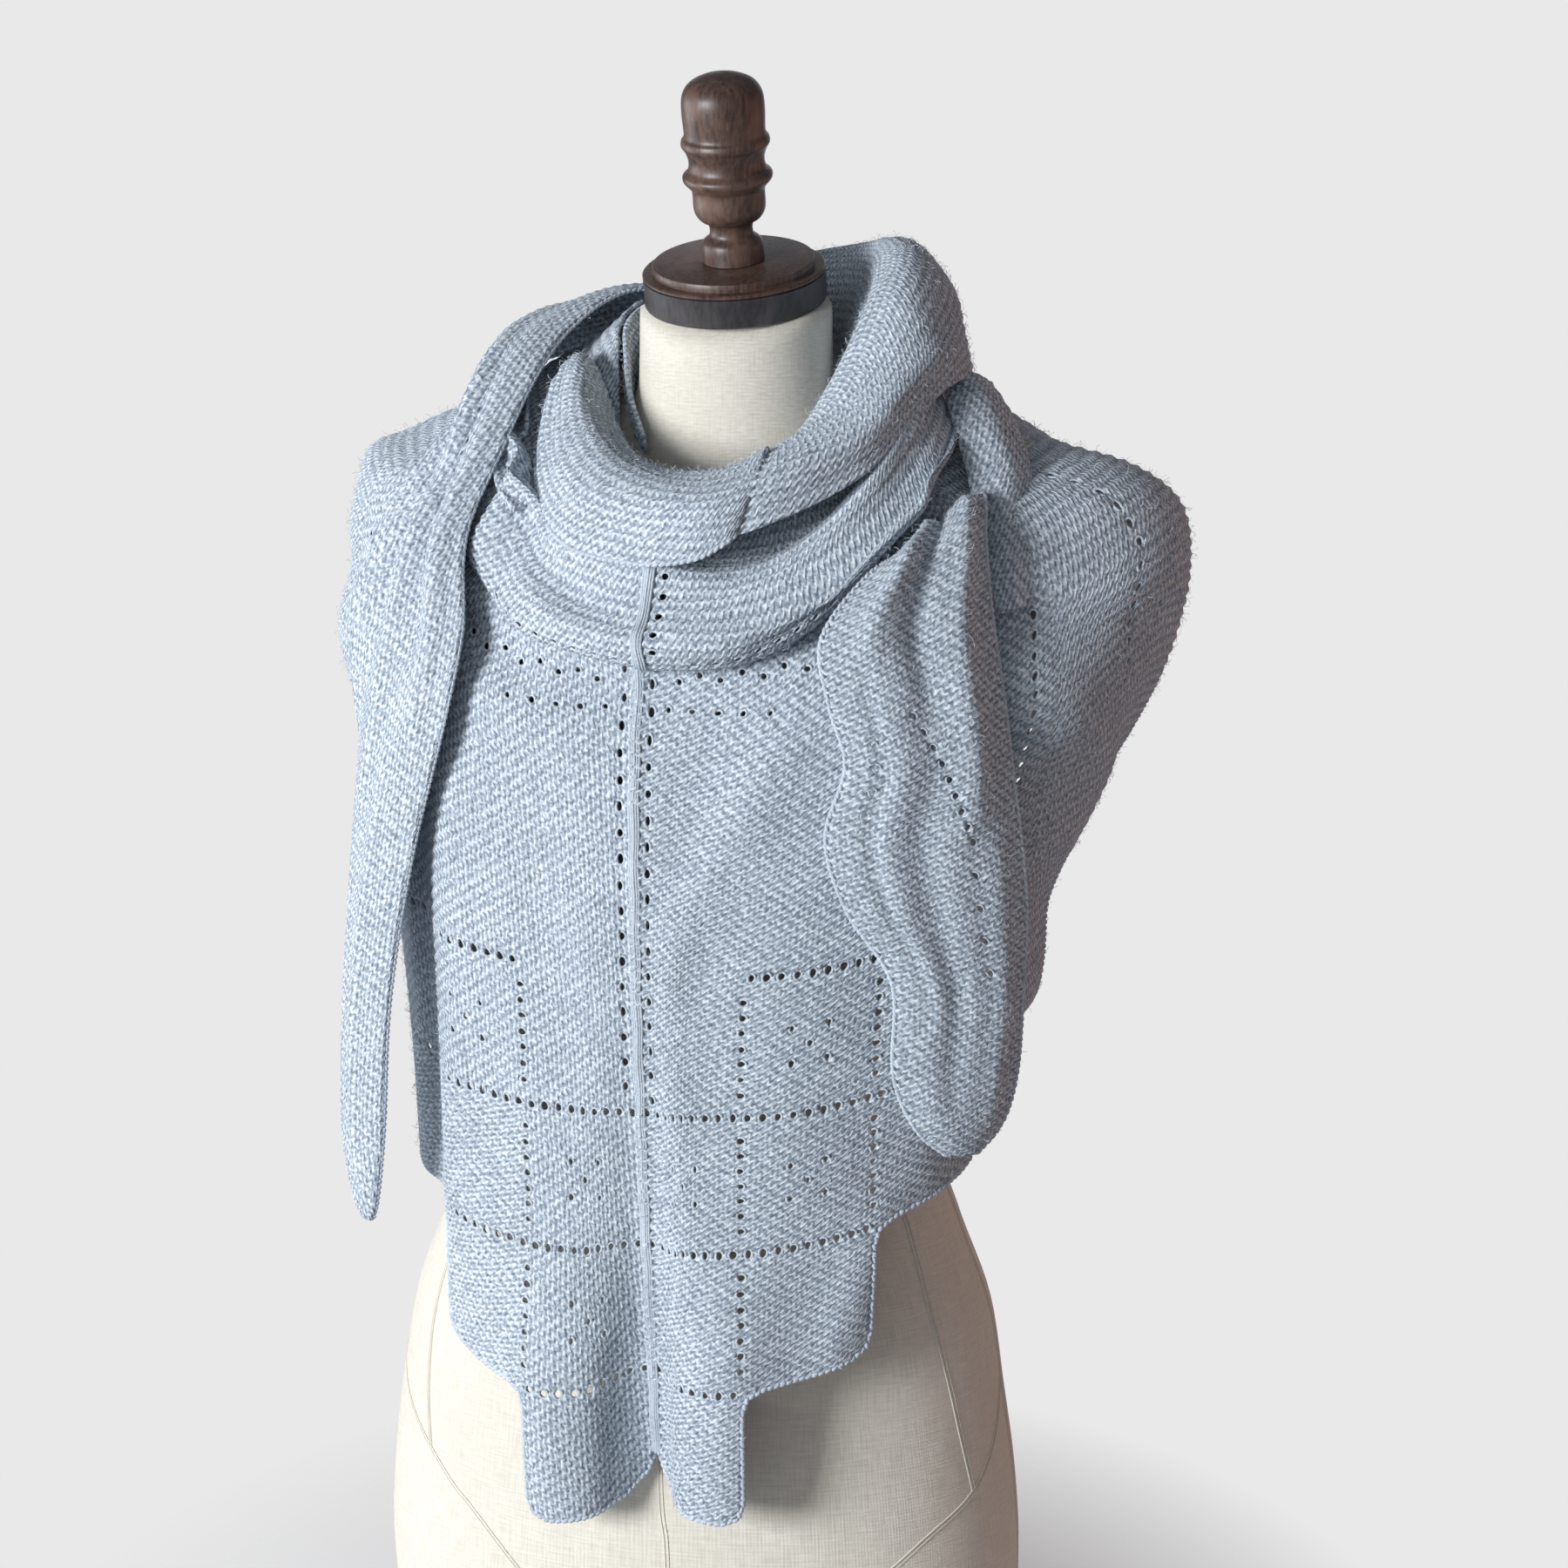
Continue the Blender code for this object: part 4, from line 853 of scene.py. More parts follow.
def mantle_eyelets():
    places = []
    share = [(i + 0.5) / EYELETS_A_SIDE for i in range(EYELETS_A_SIDE)]
    for side in (-1, 1):
        for column, rows in EYELET_LINES:
            places += [(side * SQUARE * (column + s), HEM_TIP + ROW * row, EYELET[0], EYELET[1])
                       for row in rows for s in share if not (column == 2 and s > 0.8)]
        for column, first, last in ((1, 1, 4), (2, 2, 4), (3, 4, 6), (4, 5, 6.6)):
            steps = int(round((last - first) * EYELETS_A_SIDE))
            places += [(side * SQUARE * column, HEM_TIP + ROW * (first + (k + 0.5) / EYELETS_A_SIDE),
                        EYELET[0], EYELET[0] - 0.0002)
                       for k in range(steps)]
        for k in range(18):
            v = 0.398 + 0.013 * (k + (0.5 if side > 0 else 0.0))
            if abs(v - HEM_TIP - 3 * ROW) > 0.005 and v < 0.632:
                places.append((side * 0.0072, v, 0.0019, 0.0027))
        places += [(side * (0.022 + 0.011 * k), 0.613 + 0.003 * (k % 2), 0.0019, 0.0017) for k in range(8)]
        places += [(side * (0.016 + 0.013 * k), 0.601 - 0.001 * k, 0.0018, 0.0016) for k in range(5)]
    for side, column, row in DIE_SQUARES:
        u, v = side * SQUARE * (column + 0.5), HEM_TIP + ROW * (row + 0.5)
        places += [(u + du, v + dv, 0.0016, 0.0020)
                   for du, dv in ((0, 0), (-0.009, 0.009), (0.009, 0.009), (-0.009, -0.009), (0.009, -0.009))]
    kept = []
    for place in places:
        if all(math.hypot(place[0] - k[0], place[1] - k[1]) > 0.0061 for k in kept):
            kept.append(place)
    stray = rng.uniform(-1.0, 1.0, (len(kept), 4)) * (0.0003, 0.0003, 0.15, 0.15)
    return [(u + du, v + dv, a * (1.0 + da), b * (1.0 + db))
            for (u, v, a, b), (du, dv, da, db) in zip(kept, stray)]


HOLES = mantle_eyelets()
print(len(HOLES), "eyelets")

# %% Direction of the ridges and the raised spine
SLANT = math.radians(36.0)


def mantle_slope(u, v):
    """The ridges fall away from the spine, turn in the outer left squares and lie level on the shoulders."""
    slope = np.where(u > 0, -SLANT, SLANT)
    slope = np.where((u < -SQUARE) & (v < HEM_TIP + 3 * ROW), -SLANT, slope)
    return np.where(np.abs(u) > 3.2 * SQUARE, 0.0, slope)


def spine_rise(u, v):
    rib = np.exp(-(u / 0.0030)**4) * 0.0016
    return rib * np.clip((v - 0.19) / 0.02, 0.0, 1.0)


mantle, mantle_skin = knit_shell(
    "shawl_mantle", MANTLE, HOLES, Slopes([0.0, SLANT, -SLANT], mantle_slope),
    mantle_place, knit_wool, raised=spine_rise)
print("mantle", len(mantle.data.polygons), "triangles")

# %% Strands round the eyelets


def eyelet_rims(holes, place, lift=-0.0005):
    """Closed run of points round each eyelet."""
    runs = []
    turn = np.linspace(0.0, math.tau, 10, endpoint=False)
    for u, v, half_u, half_v in holes:
        ring_u = u + (half_u + 0.0002) * np.cos(turn)
        ring_v = v + (half_v + 0.0002) * np.sin(turn)
        n = surface_normal(place, ring_u, ring_v)
        runs.append(place(ring_u, ring_v) + n * (lift + 0.0004 * np.sin(2 * turn))[:, None])
    return runs


# The rims take the darker copy of the yarn, painted shade round each eyelet.
mantle_rims = strands("eyelet_rims_mantle", eyelet_rims(HOLES, mantle_place), 0.0008, shaded_yarn_wool, 0.0, 5, True)

# %% Bound hem and the knit stitches of the spine


def flat_run(corners, place, lift=0.0):
    """Points and normals along a path of flat corners."""
    flat = []
    for (u0, v0), (u1, v1) in zip(corners[:-1], corners[1:]):
        parts = max(1, int(math.hypot(u1 - u0, v1 - v0) / 0.002))
        flat += [(u0 + (u1 - u0) * k / parts, v0 + (v1 - v0) * k / parts) for k in range(parts)]
    flat.append(corners[-1])
    flat = np.array(flat)
    n = surface_normal(place, flat[:, 0], flat[:, 1])
    return place(flat[:, 0], flat[:, 1]) + n * lift, n


def edge_chain(corners, place, pitch=0.0034):
    points, normals = flat_run(corners, place, -WALL / 2)
    return chain_runs(points, normals, pitch, 0.0006, 0.0006)


hem_end = MANTLE.index((HALF_ROUND[1] + 0.030, HEM_TIP + ROW * 6 + 0.036)) + 1
hem = strands("bound_hem", edge_chain(MANTLE[:hem_end], mantle_place), 0.0014, yarn_wool)
rib_runs = []
RIB_STRANDS = 5
for k in range(RIB_STRANDS):
    start = -0.0022 + 0.0011 * k
    wander = [(start + 0.0003 * math.sin(6.0 * k + 190.0 * v), v) for v in np.arange(0.205, 0.633, 0.004)]
    rib_runs.append(flat_run(wander, mantle_place, 0.0012 - abs(k - 2) * 0.0003)[0])
# The spine's strands take the darker copy of the yarn, painted shade.
spine = strands("spine_stitches", rib_runs, 0.0008, shaded_yarn_wool, 0.0)

# %% [markdown]
# ## The cowl and the tails
# Round the neck the cloth is gathered into soft folds: a turned-out flap in front, a
# band that climbs to the nape on the right, a second fold below them, and two tails
# that come forward over the shoulders. Each is a strip whose sections stand in a
# short table. The strip's own flat chart runs along it (v) and across it (u), and it
# is knitted by the same function as the hanging part.

# %% Profile of the drape, to seat the tails on it


def drape_profile(angle):
    """Radius and height of the drape down one angle round the neck, top first."""
    side = 1.0 if angle >= 0 else -1.0
    found = []
    for level in np.linspace(0.685 if abs(angle) > 52.0 else 0.649, 0.30, 78):
        points, _ = drape_ring(level, side)
        around = np.degrees(np.arctan2(points[:, 0] - NECK_X, -points[:, 1]))
        radius = np.hypot(points[:, 0] - NECK_X, points[:, 1])
        order = np.argsort(around)
        found.append((np.interp(angle, around[order], radius[order]),
                      np.interp(angle, around[order], points[order, 2])))
    return np.array(found)


PROFILES = {}


def seated(point, gap, press=0.0):
    """Point moved out, where it has to be, to lie at least a gap over the drape."""
    angle = math.degrees(math.atan2(point[0] - NECK_X, -point[1]))
    if abs(angle) > 150.0:
        return point
    key = int(round(angle / 2.0)) * 2
    if key not in PROFILES:
        PROFILES[key] = drape_profile(key)
    line = PROFILES[key]
    at = np.array([math.hypot(point[0] - NECK_X, point[1]), point[2]])
    way = np.diff(line, axis=0)
    t = np.clip(np.sum((at - line[:-1]) * way, axis=1) / np.maximum(np.sum(way * way, axis=1), 1e-12), 0, 1)
    near = line[:-1] + way * t[:, None]
    away = np.linalg.norm(near - at, axis=1)
    k = int(np.argmin(away))
    out = np.array([-way[k][1], way[k][0]]) / np.linalg.norm(way[k])
    signed = float(np.dot(at - near[k], out))
    if abs(signed) < away[k] * 0.5 or (signed >= gap and press == 0.0):
        return point
    moved = at + out * (gap - signed) * (press if signed >= gap else 1.0)
    a = math.radians(angle)
    return np.array([NECK_X + moved[0] * math.sin(a), -moved[0] * math.cos(a), moved[1]])


# %% A strip and its flat chart


STRIP_EYELET = (0.0017, 0.0019)
FOLD_CHART = 0.1  # width of the chart that the strips' folds are placed on, whatever the strip's own width


class Strip:
    """Strip through a net of sections. A fold's ends are shares of its width and length."""

    def __init__(self, net, folds, seat, pressed, along=90, across=33):
        rows = smooth_run(net, along)
        grid = np.array([smooth_run(row, across) for row in rows])
        if seat:
            for i, row in enumerate(grid):
                press = max(0.0, 1.0 - i / pressed) if pressed else 0.0
                grid[i] = [seated(p, seat, press) for p in row]
        self.grid = grid
        step = np.linalg.norm(np.diff(grid, axis=0), axis=2).mean(axis=1)
        self.run = np.concatenate([[0.0], np.cumsum(step)])
        self.wide = np.maximum(np.linalg.norm(np.diff(grid, axis=1), axis=2).sum(axis=1), 0.002)
        self.folds = [(s0 * FOLD_CHART, t0 * self.run[-1], s1 * FOLD_CHART, t1 * self.run[-1], width, height)
                      for s0, t0, s1, t1, width, height in folds]

    def base(self, u, v):
        along = np.interp(v, self.run, np.arange(len(self.run)))
        share = u / np.interp(v, self.run, self.wide) + 0.5
        return read_grid(self.grid, along, share * (self.grid.shape[1] - 1))

    def place(self, u, v):
        """Place in space of flat points, with the folds raised."""
        at = self.base(u, v)
        if not self.folds:
            return at
        lift = fold_height(self.folds, u / np.interp(v, self.run, self.wide) * FOLD_CHART, v)
        return at + surface_normal(self.base, u, v, 0.004) * lift[:, None]

    def outline(self, spacing=0.006):
        """Flat outline: down the low-u side, back up the high-u side."""
        count = max(4, int(self.run[-1] / spacing))
        v = np.linspace(0.0, self.run[-1], count + 1)
        half = np.interp(v, self.run, self.wide) / 2
        return list(zip(half.tolist(), v.tolist())) + list(zip((-half[::-1]).tolist(), v[::-1].tolist()))

    def eyelets(self, across, along, to_across, to_along, count):
        """Row of eyelets; its ends are shares of the width and of the length."""
        v = np.linspace(along, to_along, count) * self.run[-1]
        u = np.linspace(across, to_across, count) * np.interp(v, self.run, self.wide)
        return [(float(a), float(b), *STRIP_EYELET) for a, b in zip(u, v)]

    def edge(self, side, start=0.0, end=1.0):
        v = np.linspace(start, end, 60) * self.run[-1]
        half = np.interp(v, self.run, self.wide) / 2 * side
        return list(zip(half.tolist(), v.tolist()))


def band_net(rows):
    """Sections round the neck; a leaning section turns further at each point."""
    net = []
    for row in rows:
        count = (len(row) - 2) // 2
        net.append([polar(row[0] + row[1] * i, row[2 + 2 * i], row[3 + 2 * i]) for i in range(count)])
    return net


# %% Sections of the turned-out flap, from its left tip to its slanting selvedge
COWL_FLAP = [
    # angle, lean, inner_r, inner_z, rim_r, rim_z, brow_r, brow_z, out_r, out_z, low_r, low_z
    (-74.0, 0.0, 0.0690, 0.748, 0.0740, 0.757, 0.0790, 0.760, 0.0850, 0.757, 0.0870, 0.748),
    (-64.0, 0.0, 0.0640, 0.734, 0.0715, 0.748, 0.0830, 0.756, 0.0950, 0.746, 0.1000, 0.726),
    (-52.0, 0.0, 0.0630, 0.722, 0.0735, 0.734, 0.0880, 0.742, 0.1040, 0.725, 0.1110, 0.703),
    (-38.0, 0.0, 0.0630, 0.710, 0.0760, 0.723, 0.0930, 0.728, 0.1150, 0.712, 0.1230, 0.688),
    (-22.0, 0.0, 0.0625, 0.701, 0.0795, 0.712, 0.0990, 0.717, 0.1280, 0.701, 0.1370, 0.676),
    (-6.0, 0.0, 0.0630, 0.694, 0.0820, 0.706, 0.1050, 0.711, 0.1340, 0.698, 0.1420, 0.672),
    (9.0, -1.0, 0.0640, 0.694, 0.0840, 0.705, 0.1080, 0.712, 0.1385, 0.701, 0.1450, 0.675),
    (21.0, -2.5, 0.0648, 0.701, 0.0838, 0.709, 0.1065, 0.717, 0.1360, 0.7070, 0.1442, 0.682),
    (30.0, -4.0, 0.0636, 0.7065, 0.0804, 0.7150, 0.1030, 0.7232, 0.1326, 0.7124, 0.1406, 0.6870),
]

# %% Sections of the band that climbs to the nape on the right
BAND_RIGHT = [
    # angle, lean, inner_r, inner_z, rim_r, rim_z, crown_r, crown_z, out_r, out_z, low_r, low_z
    (14.0, -3.0, 0.0650, 0.694, 0.0825, 0.703, 0.1050, 0.710, 0.1330, 0.701, 0.1400, 0.680),
    (27.0, -2.0, 0.0640, 0.705, 0.0810, 0.714, 0.1030, 0.723, 0.1320, 0.713, 0.1390, 0.690),
    (40.0, 0.0, 0.0620, 0.714, 0.0740, 0.725, 0.0990, 0.739, 0.1290, 0.729, 0.1350, 0.711),
    (55.0, 0.0, 0.0600, 0.725, 0.0680, 0.740, 0.0950, 0.764, 0.1230, 0.753, 0.1280, 0.734),
    (72.0, 0.0, 0.0580, 0.737, 0.0630, 0.757, 0.0890, 0.790, 0.1190, 0.774, 0.1260, 0.750),
    (90.0, 0.0, 0.0570, 0.749, 0.0610, 0.774, 0.0830, 0.807, 0.1140, 0.786, 0.1230, 0.748),
    (110.0, 0.0, 0.0580, 0.752, 0.0620, 0.787, 0.0770, 0.814, 0.1010, 0.798, 0.1140, 0.747),
    (135.0, 0.0, 0.0610, 0.758, 0.0650, 0.790, 0.0750, 0.812, 0.0920, 0.798, 0.1060, 0.752),
    (165.0, 0.0, 0.0640, 0.762, 0.0660, 0.788, 0.0750, 0.806, 0.0870, 0.796, 0.0980, 0.760),
    (192.0, 0.0, 0.0620, 0.762, 0.0650, 0.782, 0.0735, 0.795, 0.0855, 0.787, 0.0965, 0.758),
    (207.0, 0.0, 0.0580, 0.765, 0.0600, 0.776, 0.0675, 0.781, 0.0785, 0.773, 0.0880, 0.756),
    (218.0, 0.0, 0.0560, 0.762, 0.0575, 0.769, 0.0635, 0.771, 0.0730, 0.764, 0.0810, 0.752),
]
BAND_LEFT = [
    # angle, lean, low_r, low_z, middle_r, middle_z, top_r, top_z
    (-40.0, 0.0, 0.0570, 0.712, 0.0580, 0.716, 0.0590, 0.720),
    (-60.0, 0.0, 0.0550, 0.722, 0.0560, 0.731, 0.0570, 0.741),
    (-76.0, 0.0, 0.0540, 0.737, 0.0555, 0.750, 0.0575, 0.762),
    (-92.0, 0.0, 0.0520, 0.748, 0.0550, 0.761, 0.0590, 0.774),
    (-120.0, 0.0, 0.0520, 0.755, 0.0550, 0.769, 0.0590, 0.783),
    (-150.0, 0.0, 0.0520, 0.760, 0.0550, 0.772, 0.0580, 0.785),
    (-178.0, 0.0, 0.0525, 0.762, 0.0550, 0.771, 0.0580, 0.780),
]

# %% Sections of the hollow between the left tail and the flap
LEFT_HOLLOW = [
    # angle, lean, outer_r, outer_z, middle_r, middle_z, inner_r, inner_z
    (-146.0, 0.0, 0.0860, 0.768, 0.0740, 0.777, 0.0600, 0.785),
    (-120.0, 0.0, 0.0960, 0.760, 0.0800, 0.768, 0.0605, 0.783),
    (-98.0, 0.0, 0.1060, 0.748, 0.0860, 0.755, 0.0605, 0.776),
    (-82.0, 0.0, 0.1130, 0.737, 0.0880, 0.741, 0.0600, 0.764),
    (-66.0, 0.0, 0.1230, 0.719, 0.0920, 0.716, 0.0600, 0.733),
    (-52.0, 0.0, 0.1320, 0.701, 0.1000, 0.700, 0.0650, 0.714),
    (-42.0, 0.0, 0.1330, 0.688, 0.1050, 0.692, 0.0740, 0.704),
]
BACK_LEFT = [
    # angle, lean, low_r, low_z, middle_r, middle_z, top_r, top_z
    (-178.0, 0.0, 0.1020, 0.728, 0.0860, 0.752, 0.0660, 0.776),
    (-150.0, 0.0, 0.1080, 0.724, 0.0940, 0.748, 0.0780, 0.768),
    (-122.0, 0.0, 0.1240, 0.716, 0.1100, 0.736, 0.0940, 0.756),
    (-98.0, 0.0, 0.1380, 0.708, 0.1260, 0.724, 0.1100, 0.742),
    (-76.0, 0.0, 0.1440, 0.696, 0.1340, 0.708, 0.1220, 0.724),
]
COWL_FOLD = [
    # angle, top_r, top_z, bulge_r, bulge_z, foot_z
    (-66.0, 0.096, 0.704, 0.112, 0.706, 0.692),
    (-56.0, 0.101, 0.697, 0.121, 0.697, 0.680),
    (-47.0, 0.107, 0.690, 0.132, 0.684, 0.662),
    (-34.0, 0.110, 0.684, 0.146, 0.662, 0.634),
    (-17.0, 0.112, 0.677, 0.148, 0.650, 0.624),
    (0.0, 0.114, 0.676, 0.149, 0.646, 0.619),
    (16.0, 0.115, 0.680, 0.151, 0.649, 0.624),
    (30.0, 0.116, 0.690, 0.155, 0.665, 0.643),
    (42.0, 0.116, 0.702, 0.156, 0.690, 0.676),
    (54.0, 0.114, 0.720, 0.150, 0.716, 0.705),
    (64.0, 0.108, 0.734, 0.140, 0.732, 0.720),
    (74.0, 0.102, 0.744, 0.128, 0.743, 0.734),
]


def fold_net():
    """Sections of the second fold; its foot tucks into the crease below it."""
    net = []
    for angle in np.linspace(COWL_FOLD[0][0], COWL_FOLD[-1][0], 32):
        _, top_r, top_z, bulge_r, bulge_z, foot_z = table_at(COWL_FOLD, angle)
        line = drape_profile(angle)
        order = np.argsort(line[:, 1])
        under = np.interp([bulge_z, foot_z], line[order, 1], line[order, 0])
        bulge = max(bulge_r, under[0] + WALL + 0.005)
        foot = under[1] + 0.0002
        top = min(top_r, bulge - 0.012)
        sunk = 0.011 + 0.008 * np.clip((angle + 10.0) / 40.0, 0.0, 1.0)
        net.append([
            polar(angle, top - 0.013, top_z + 0.009),
            polar(angle, top, top_z),
            polar(angle, bulge - sunk - 0.008, bulge_z + 0.024),
            polar(angle, bulge - sunk, bulge_z + 0.008),
            polar(angle, bulge, bulge_z - 0.008),
            polar(angle, (bulge + foot) / 2 + 0.0060, (bulge_z + foot_z) / 2 - 0.009),
            polar(angle, foot, foot_z + 0.0005),
        ])
    return net


# %% Sections of the tails
TAIL_LEFT = [
    # outer_x, outer_y, outer_z, inner_x, inner_y, inner_z, fullness
    (-0.046, 0.086, 0.760, -0.026, 0.059, 0.787, 0.012),
    (-0.080, 0.062, 0.756, -0.058, 0.031, 0.786, 0.013),
    (-0.109, 0.026, 0.748, -0.076, -0.004, 0.771, 0.014),
    (-0.122, -0.014, 0.730, -0.086, -0.038, 0.748, 0.014),
    (-0.136, -0.044, 0.694, -0.094, -0.070, 0.715, 0.013),
    (-0.149, -0.066, 0.652, -0.103, -0.102, 0.675, 0.013),
    (-0.161, -0.080, 0.610, -0.096, -0.130, 0.634, 0.012),
    (-0.166, -0.088, 0.566, -0.104, -0.139, 0.588, 0.011),
    (-0.172, -0.090, 0.500, -0.126, -0.130, 0.516, 0.010),
    (-0.178, -0.090, 0.430, -0.142, -0.124, 0.440, 0.009),
    (-0.181, -0.092, 0.365, -0.148, -0.122, 0.372, 0.007),
    (-0.174, -0.100, 0.330, -0.155, -0.116, 0.331, 0.004),
    (-0.167, -0.106, 0.317, -0.160, -0.111, 0.317, 0.001),
]
TAIL_RIGHT = [
    # outer_x, outer_y, outer_z, inner_x, inner_y, inner_z, fullness
    (0.147, -0.065, 0.708, 0.123, -0.096, 0.687, 0.003),
    (0.151, -0.077, 0.696, 0.114, -0.112, 0.676, 0.005),
    (0.153, -0.088, 0.681, 0.103, -0.131, 0.668, 0.009),
    (0.159, -0.100, 0.645, 0.086, -0.149, 0.641, 0.011),
    (0.167, -0.110, 0.607, 0.091, -0.154, 0.610, 0.012),
    (0.172, -0.114, 0.575, 0.099, -0.155, 0.582, 0.012),
    (0.177, -0.115, 0.540, 0.090, -0.157, 0.547, 0.011),
    (0.180, -0.114, 0.505, 0.100, -0.155, 0.512, 0.011),
    (0.179, -0.113, 0.465, 0.121, -0.149, 0.476, 0.010),
    (0.177, -0.114, 0.425, 0.122, -0.149, 0.430, 0.009),
    (0.171, -0.119, 0.400, 0.133, -0.146, 0.402, 0.007),
    (0.160, -0.128, 0.386, 0.147, -0.138, 0.387, 0.002),
]


def tail_net(rows):
    """Sections of a tail: a full, softly rounded strip."""
    rows = np.asarray(rows, float)
    middle = (rows[:, 0:3] + rows[:, 3:6]) / 2
    net = []
    for i, row in enumerate(rows):
        outer, inner, full = row[0:3], row[3:6], row[6]
        way = middle[min(i + 1, len(rows) - 1)] - middle[max(i - 1, 0)]
        across = inner - outer
        out = np.cross(across, way)
        out /= np.linalg.norm(out)
        if np.dot(out, middle[i] - np.array([0.0, 0.0, min(middle[i][2], 0.70)])) < 0:
            out = -out
        net.append([outer + across * share + out * full * bow for share, bow in
                    ((0.0, 0.0), (0.25, 0.8), (0.5, 1.0), (0.75, 0.8), (1.0, 0.0))])
    return net


# %% Sections of the rounded fold beside the right tail
LOOP_FOLD = [
    # three points from the tail round to the shoulder: x, y, z of each
    ((0.118, -0.020, 0.752), (0.133, -0.018, 0.752), (0.140, -0.004, 0.746)),
    ((0.127, -0.042, 0.734), (0.144, -0.036, 0.737), (0.153, -0.020, 0.732)),
    ((0.138, -0.058, 0.708), (0.156, -0.051, 0.712), (0.164, -0.034, 0.712)),
    ((0.146, -0.073, 0.684), (0.161, -0.067, 0.688), (0.170, -0.050, 0.692)),
    ((0.152, -0.085, 0.664), (0.164, -0.080, 0.667), (0.174, -0.064, 0.672)),
    ((0.158, -0.090, 0.645), (0.167, -0.087, 0.647), (0.176, -0.074, 0.650)),
]

# %% Folds, eyelets and edges of the strips
RIM_YARN = 0.0006
SELVEDGE_YARN = 0.0012
BOTH_EDGES = [(-1, 0.0, 1.0), (1, 0.0, 1.0)]
STRIPS = {
    # folds: from_across, from_along, to_across, to_along, width, height
    # eyelets: from_across, from_along, to_across, to_along, count; edges: side, start, end
    "cowl_flap": {"net": band_net(COWL_FLAP), "slope": 80, "edges": [(1, 0.0, 1.0)], "folds": [
        (-0.10, 0.10, 0.15, 0.75, 0.010, 0.0030), (0.30, 0.30, 0.38, 0.90, 0.008, -0.0022),
        (0.10, 0.05, 0.30, 0.35, 0.007, -0.0025), (-0.20, 0.35, -0.05, 0.60, 0.007, -0.0020)]},
    "neck_band_right": {"net": band_net(BAND_RIGHT), "slope": 84, "edges": [(-1, 0.2, 1.0)], "folds": [
        (-0.02, 0.06, 0.06, 0.34, 0.008, -0.0038), (0.26, 0.06, 0.22, 0.36, 0.009, 0.0030),
        (-0.24, 0.16, -0.10, 0.42, 0.008, 0.0034), (0.14, 0.26, 0.34, 0.50, 0.009, -0.0042),
        (-0.34, 0.30, -0.14, 0.62, 0.008, -0.0036), (0.02, 0.34, 0.16, 0.66, 0.009, 0.0038),
        (0.30, 0.50, 0.20, 0.95, 0.010, 0.0036), (-0.10, 0.60, 0.05, 0.95, 0.009, -0.0034)]},
    "neck_band_left": {"net": band_net(BAND_LEFT), "slope": 84},
    "left_hollow": {"net": band_net(LEFT_HOLLOW), "slope": 70, "folds": [
        (0.1, 0.3, 0.0, 0.9, 0.010, -0.0024)]},
    "back_left": {"net": band_net(BACK_LEFT), "slope": 70, "folds": [
        (0.1, 0.1, -0.1, 0.5, 0.009, 0.0030), (-0.2, 0.4, 0.1, 0.9, 0.009, -0.0030)]},
    "cowl_fold": {"net": fold_net(), "slope": 88, "folds": [
        (-0.14, 0.10, 0.12, 0.42, 0.008, -0.0040), (0.02, 0.50, -0.18, 0.86, 0.008, 0.0038),
        (0.20, 0.30, 0.16, 0.62, 0.007, 0.0024), (-0.28, 0.60, -0.20, 0.95, 0.007, -0.0030),
        (-0.30, 0.20, -0.10, 0.50, 0.007, 0.0026), (0.14, 0.62, -0.04, 0.95, 0.007, -0.0034),
        (-0.22, 0.50, -0.24, 0.98, 0.013, -0.0090), (0.24, 0.58, 0.14, 0.98, 0.011, -0.0080),
        (0.02, 0.56, -0.06, 0.98, 0.012, 0.0040)],
        "eyelets": [(-0.10, 0.447, 0.24, 0.443, 5), (0.30, 0.20, 0.32, 0.42, 9),
                    (0.31, 0.49, 0.29, 0.72, 10)]},
    "tail_left": {"net": tail_net(TAIL_LEFT), "slope": 38, "seat": WALL + 0.0020,
                  "edges": BOTH_EDGES, "folds": [
        (-0.16, 0.04, 0.02, 0.30, 0.009, -0.0060), (0.10, 0.22, 0.20, 0.50, 0.008, 0.0052),
        (-0.30, 0.12, -0.22, 0.46, 0.007, 0.0046), (0.02, 0.36, -0.10, 0.62, 0.008, -0.0050),
        (0.34, 0.30, 0.30, 0.56, 0.006, -0.0036), (0.12, 0.58, 0.10, 0.95, 0.006, -0.0026),
        (-0.24, 0.60, -0.20, 0.90, 0.006, 0.0022)],
        "eyelets": [(0.18, 0.24, 0.14, 0.36, 5)]},
    "tail_right": {"net": tail_net(TAIL_RIGHT), "slope": -34, "seat": WALL + 0.0003, "pressed": 5,
                   "edges": BOTH_EDGES, "folds": [
        (0.05, 0.00, -0.02, 0.34, 0.008, -0.0046), (0.30, 0.30, 0.28, 0.80, 0.004, -0.0022),
        (-0.28, 0.04, -0.22, 0.50, 0.009, 0.0050), (0.02, 0.38, 0.08, 0.90, 0.010, -0.0034),
        (0.22, 0.02, 0.24, 0.26, 0.007, 0.0040), (-0.36, 0.50, -0.26, 0.92, 0.008, 0.0030)],
        "eyelets": [(0.08, 0.36, -0.22, 0.53, 9), (-0.22, 0.53, -0.20, 0.72, 5),
                    (0.34, 0.40, 0.34, 0.50, 4)]},
    "loop_fold": {"net": LOOP_FOLD, "slope": 60},
}

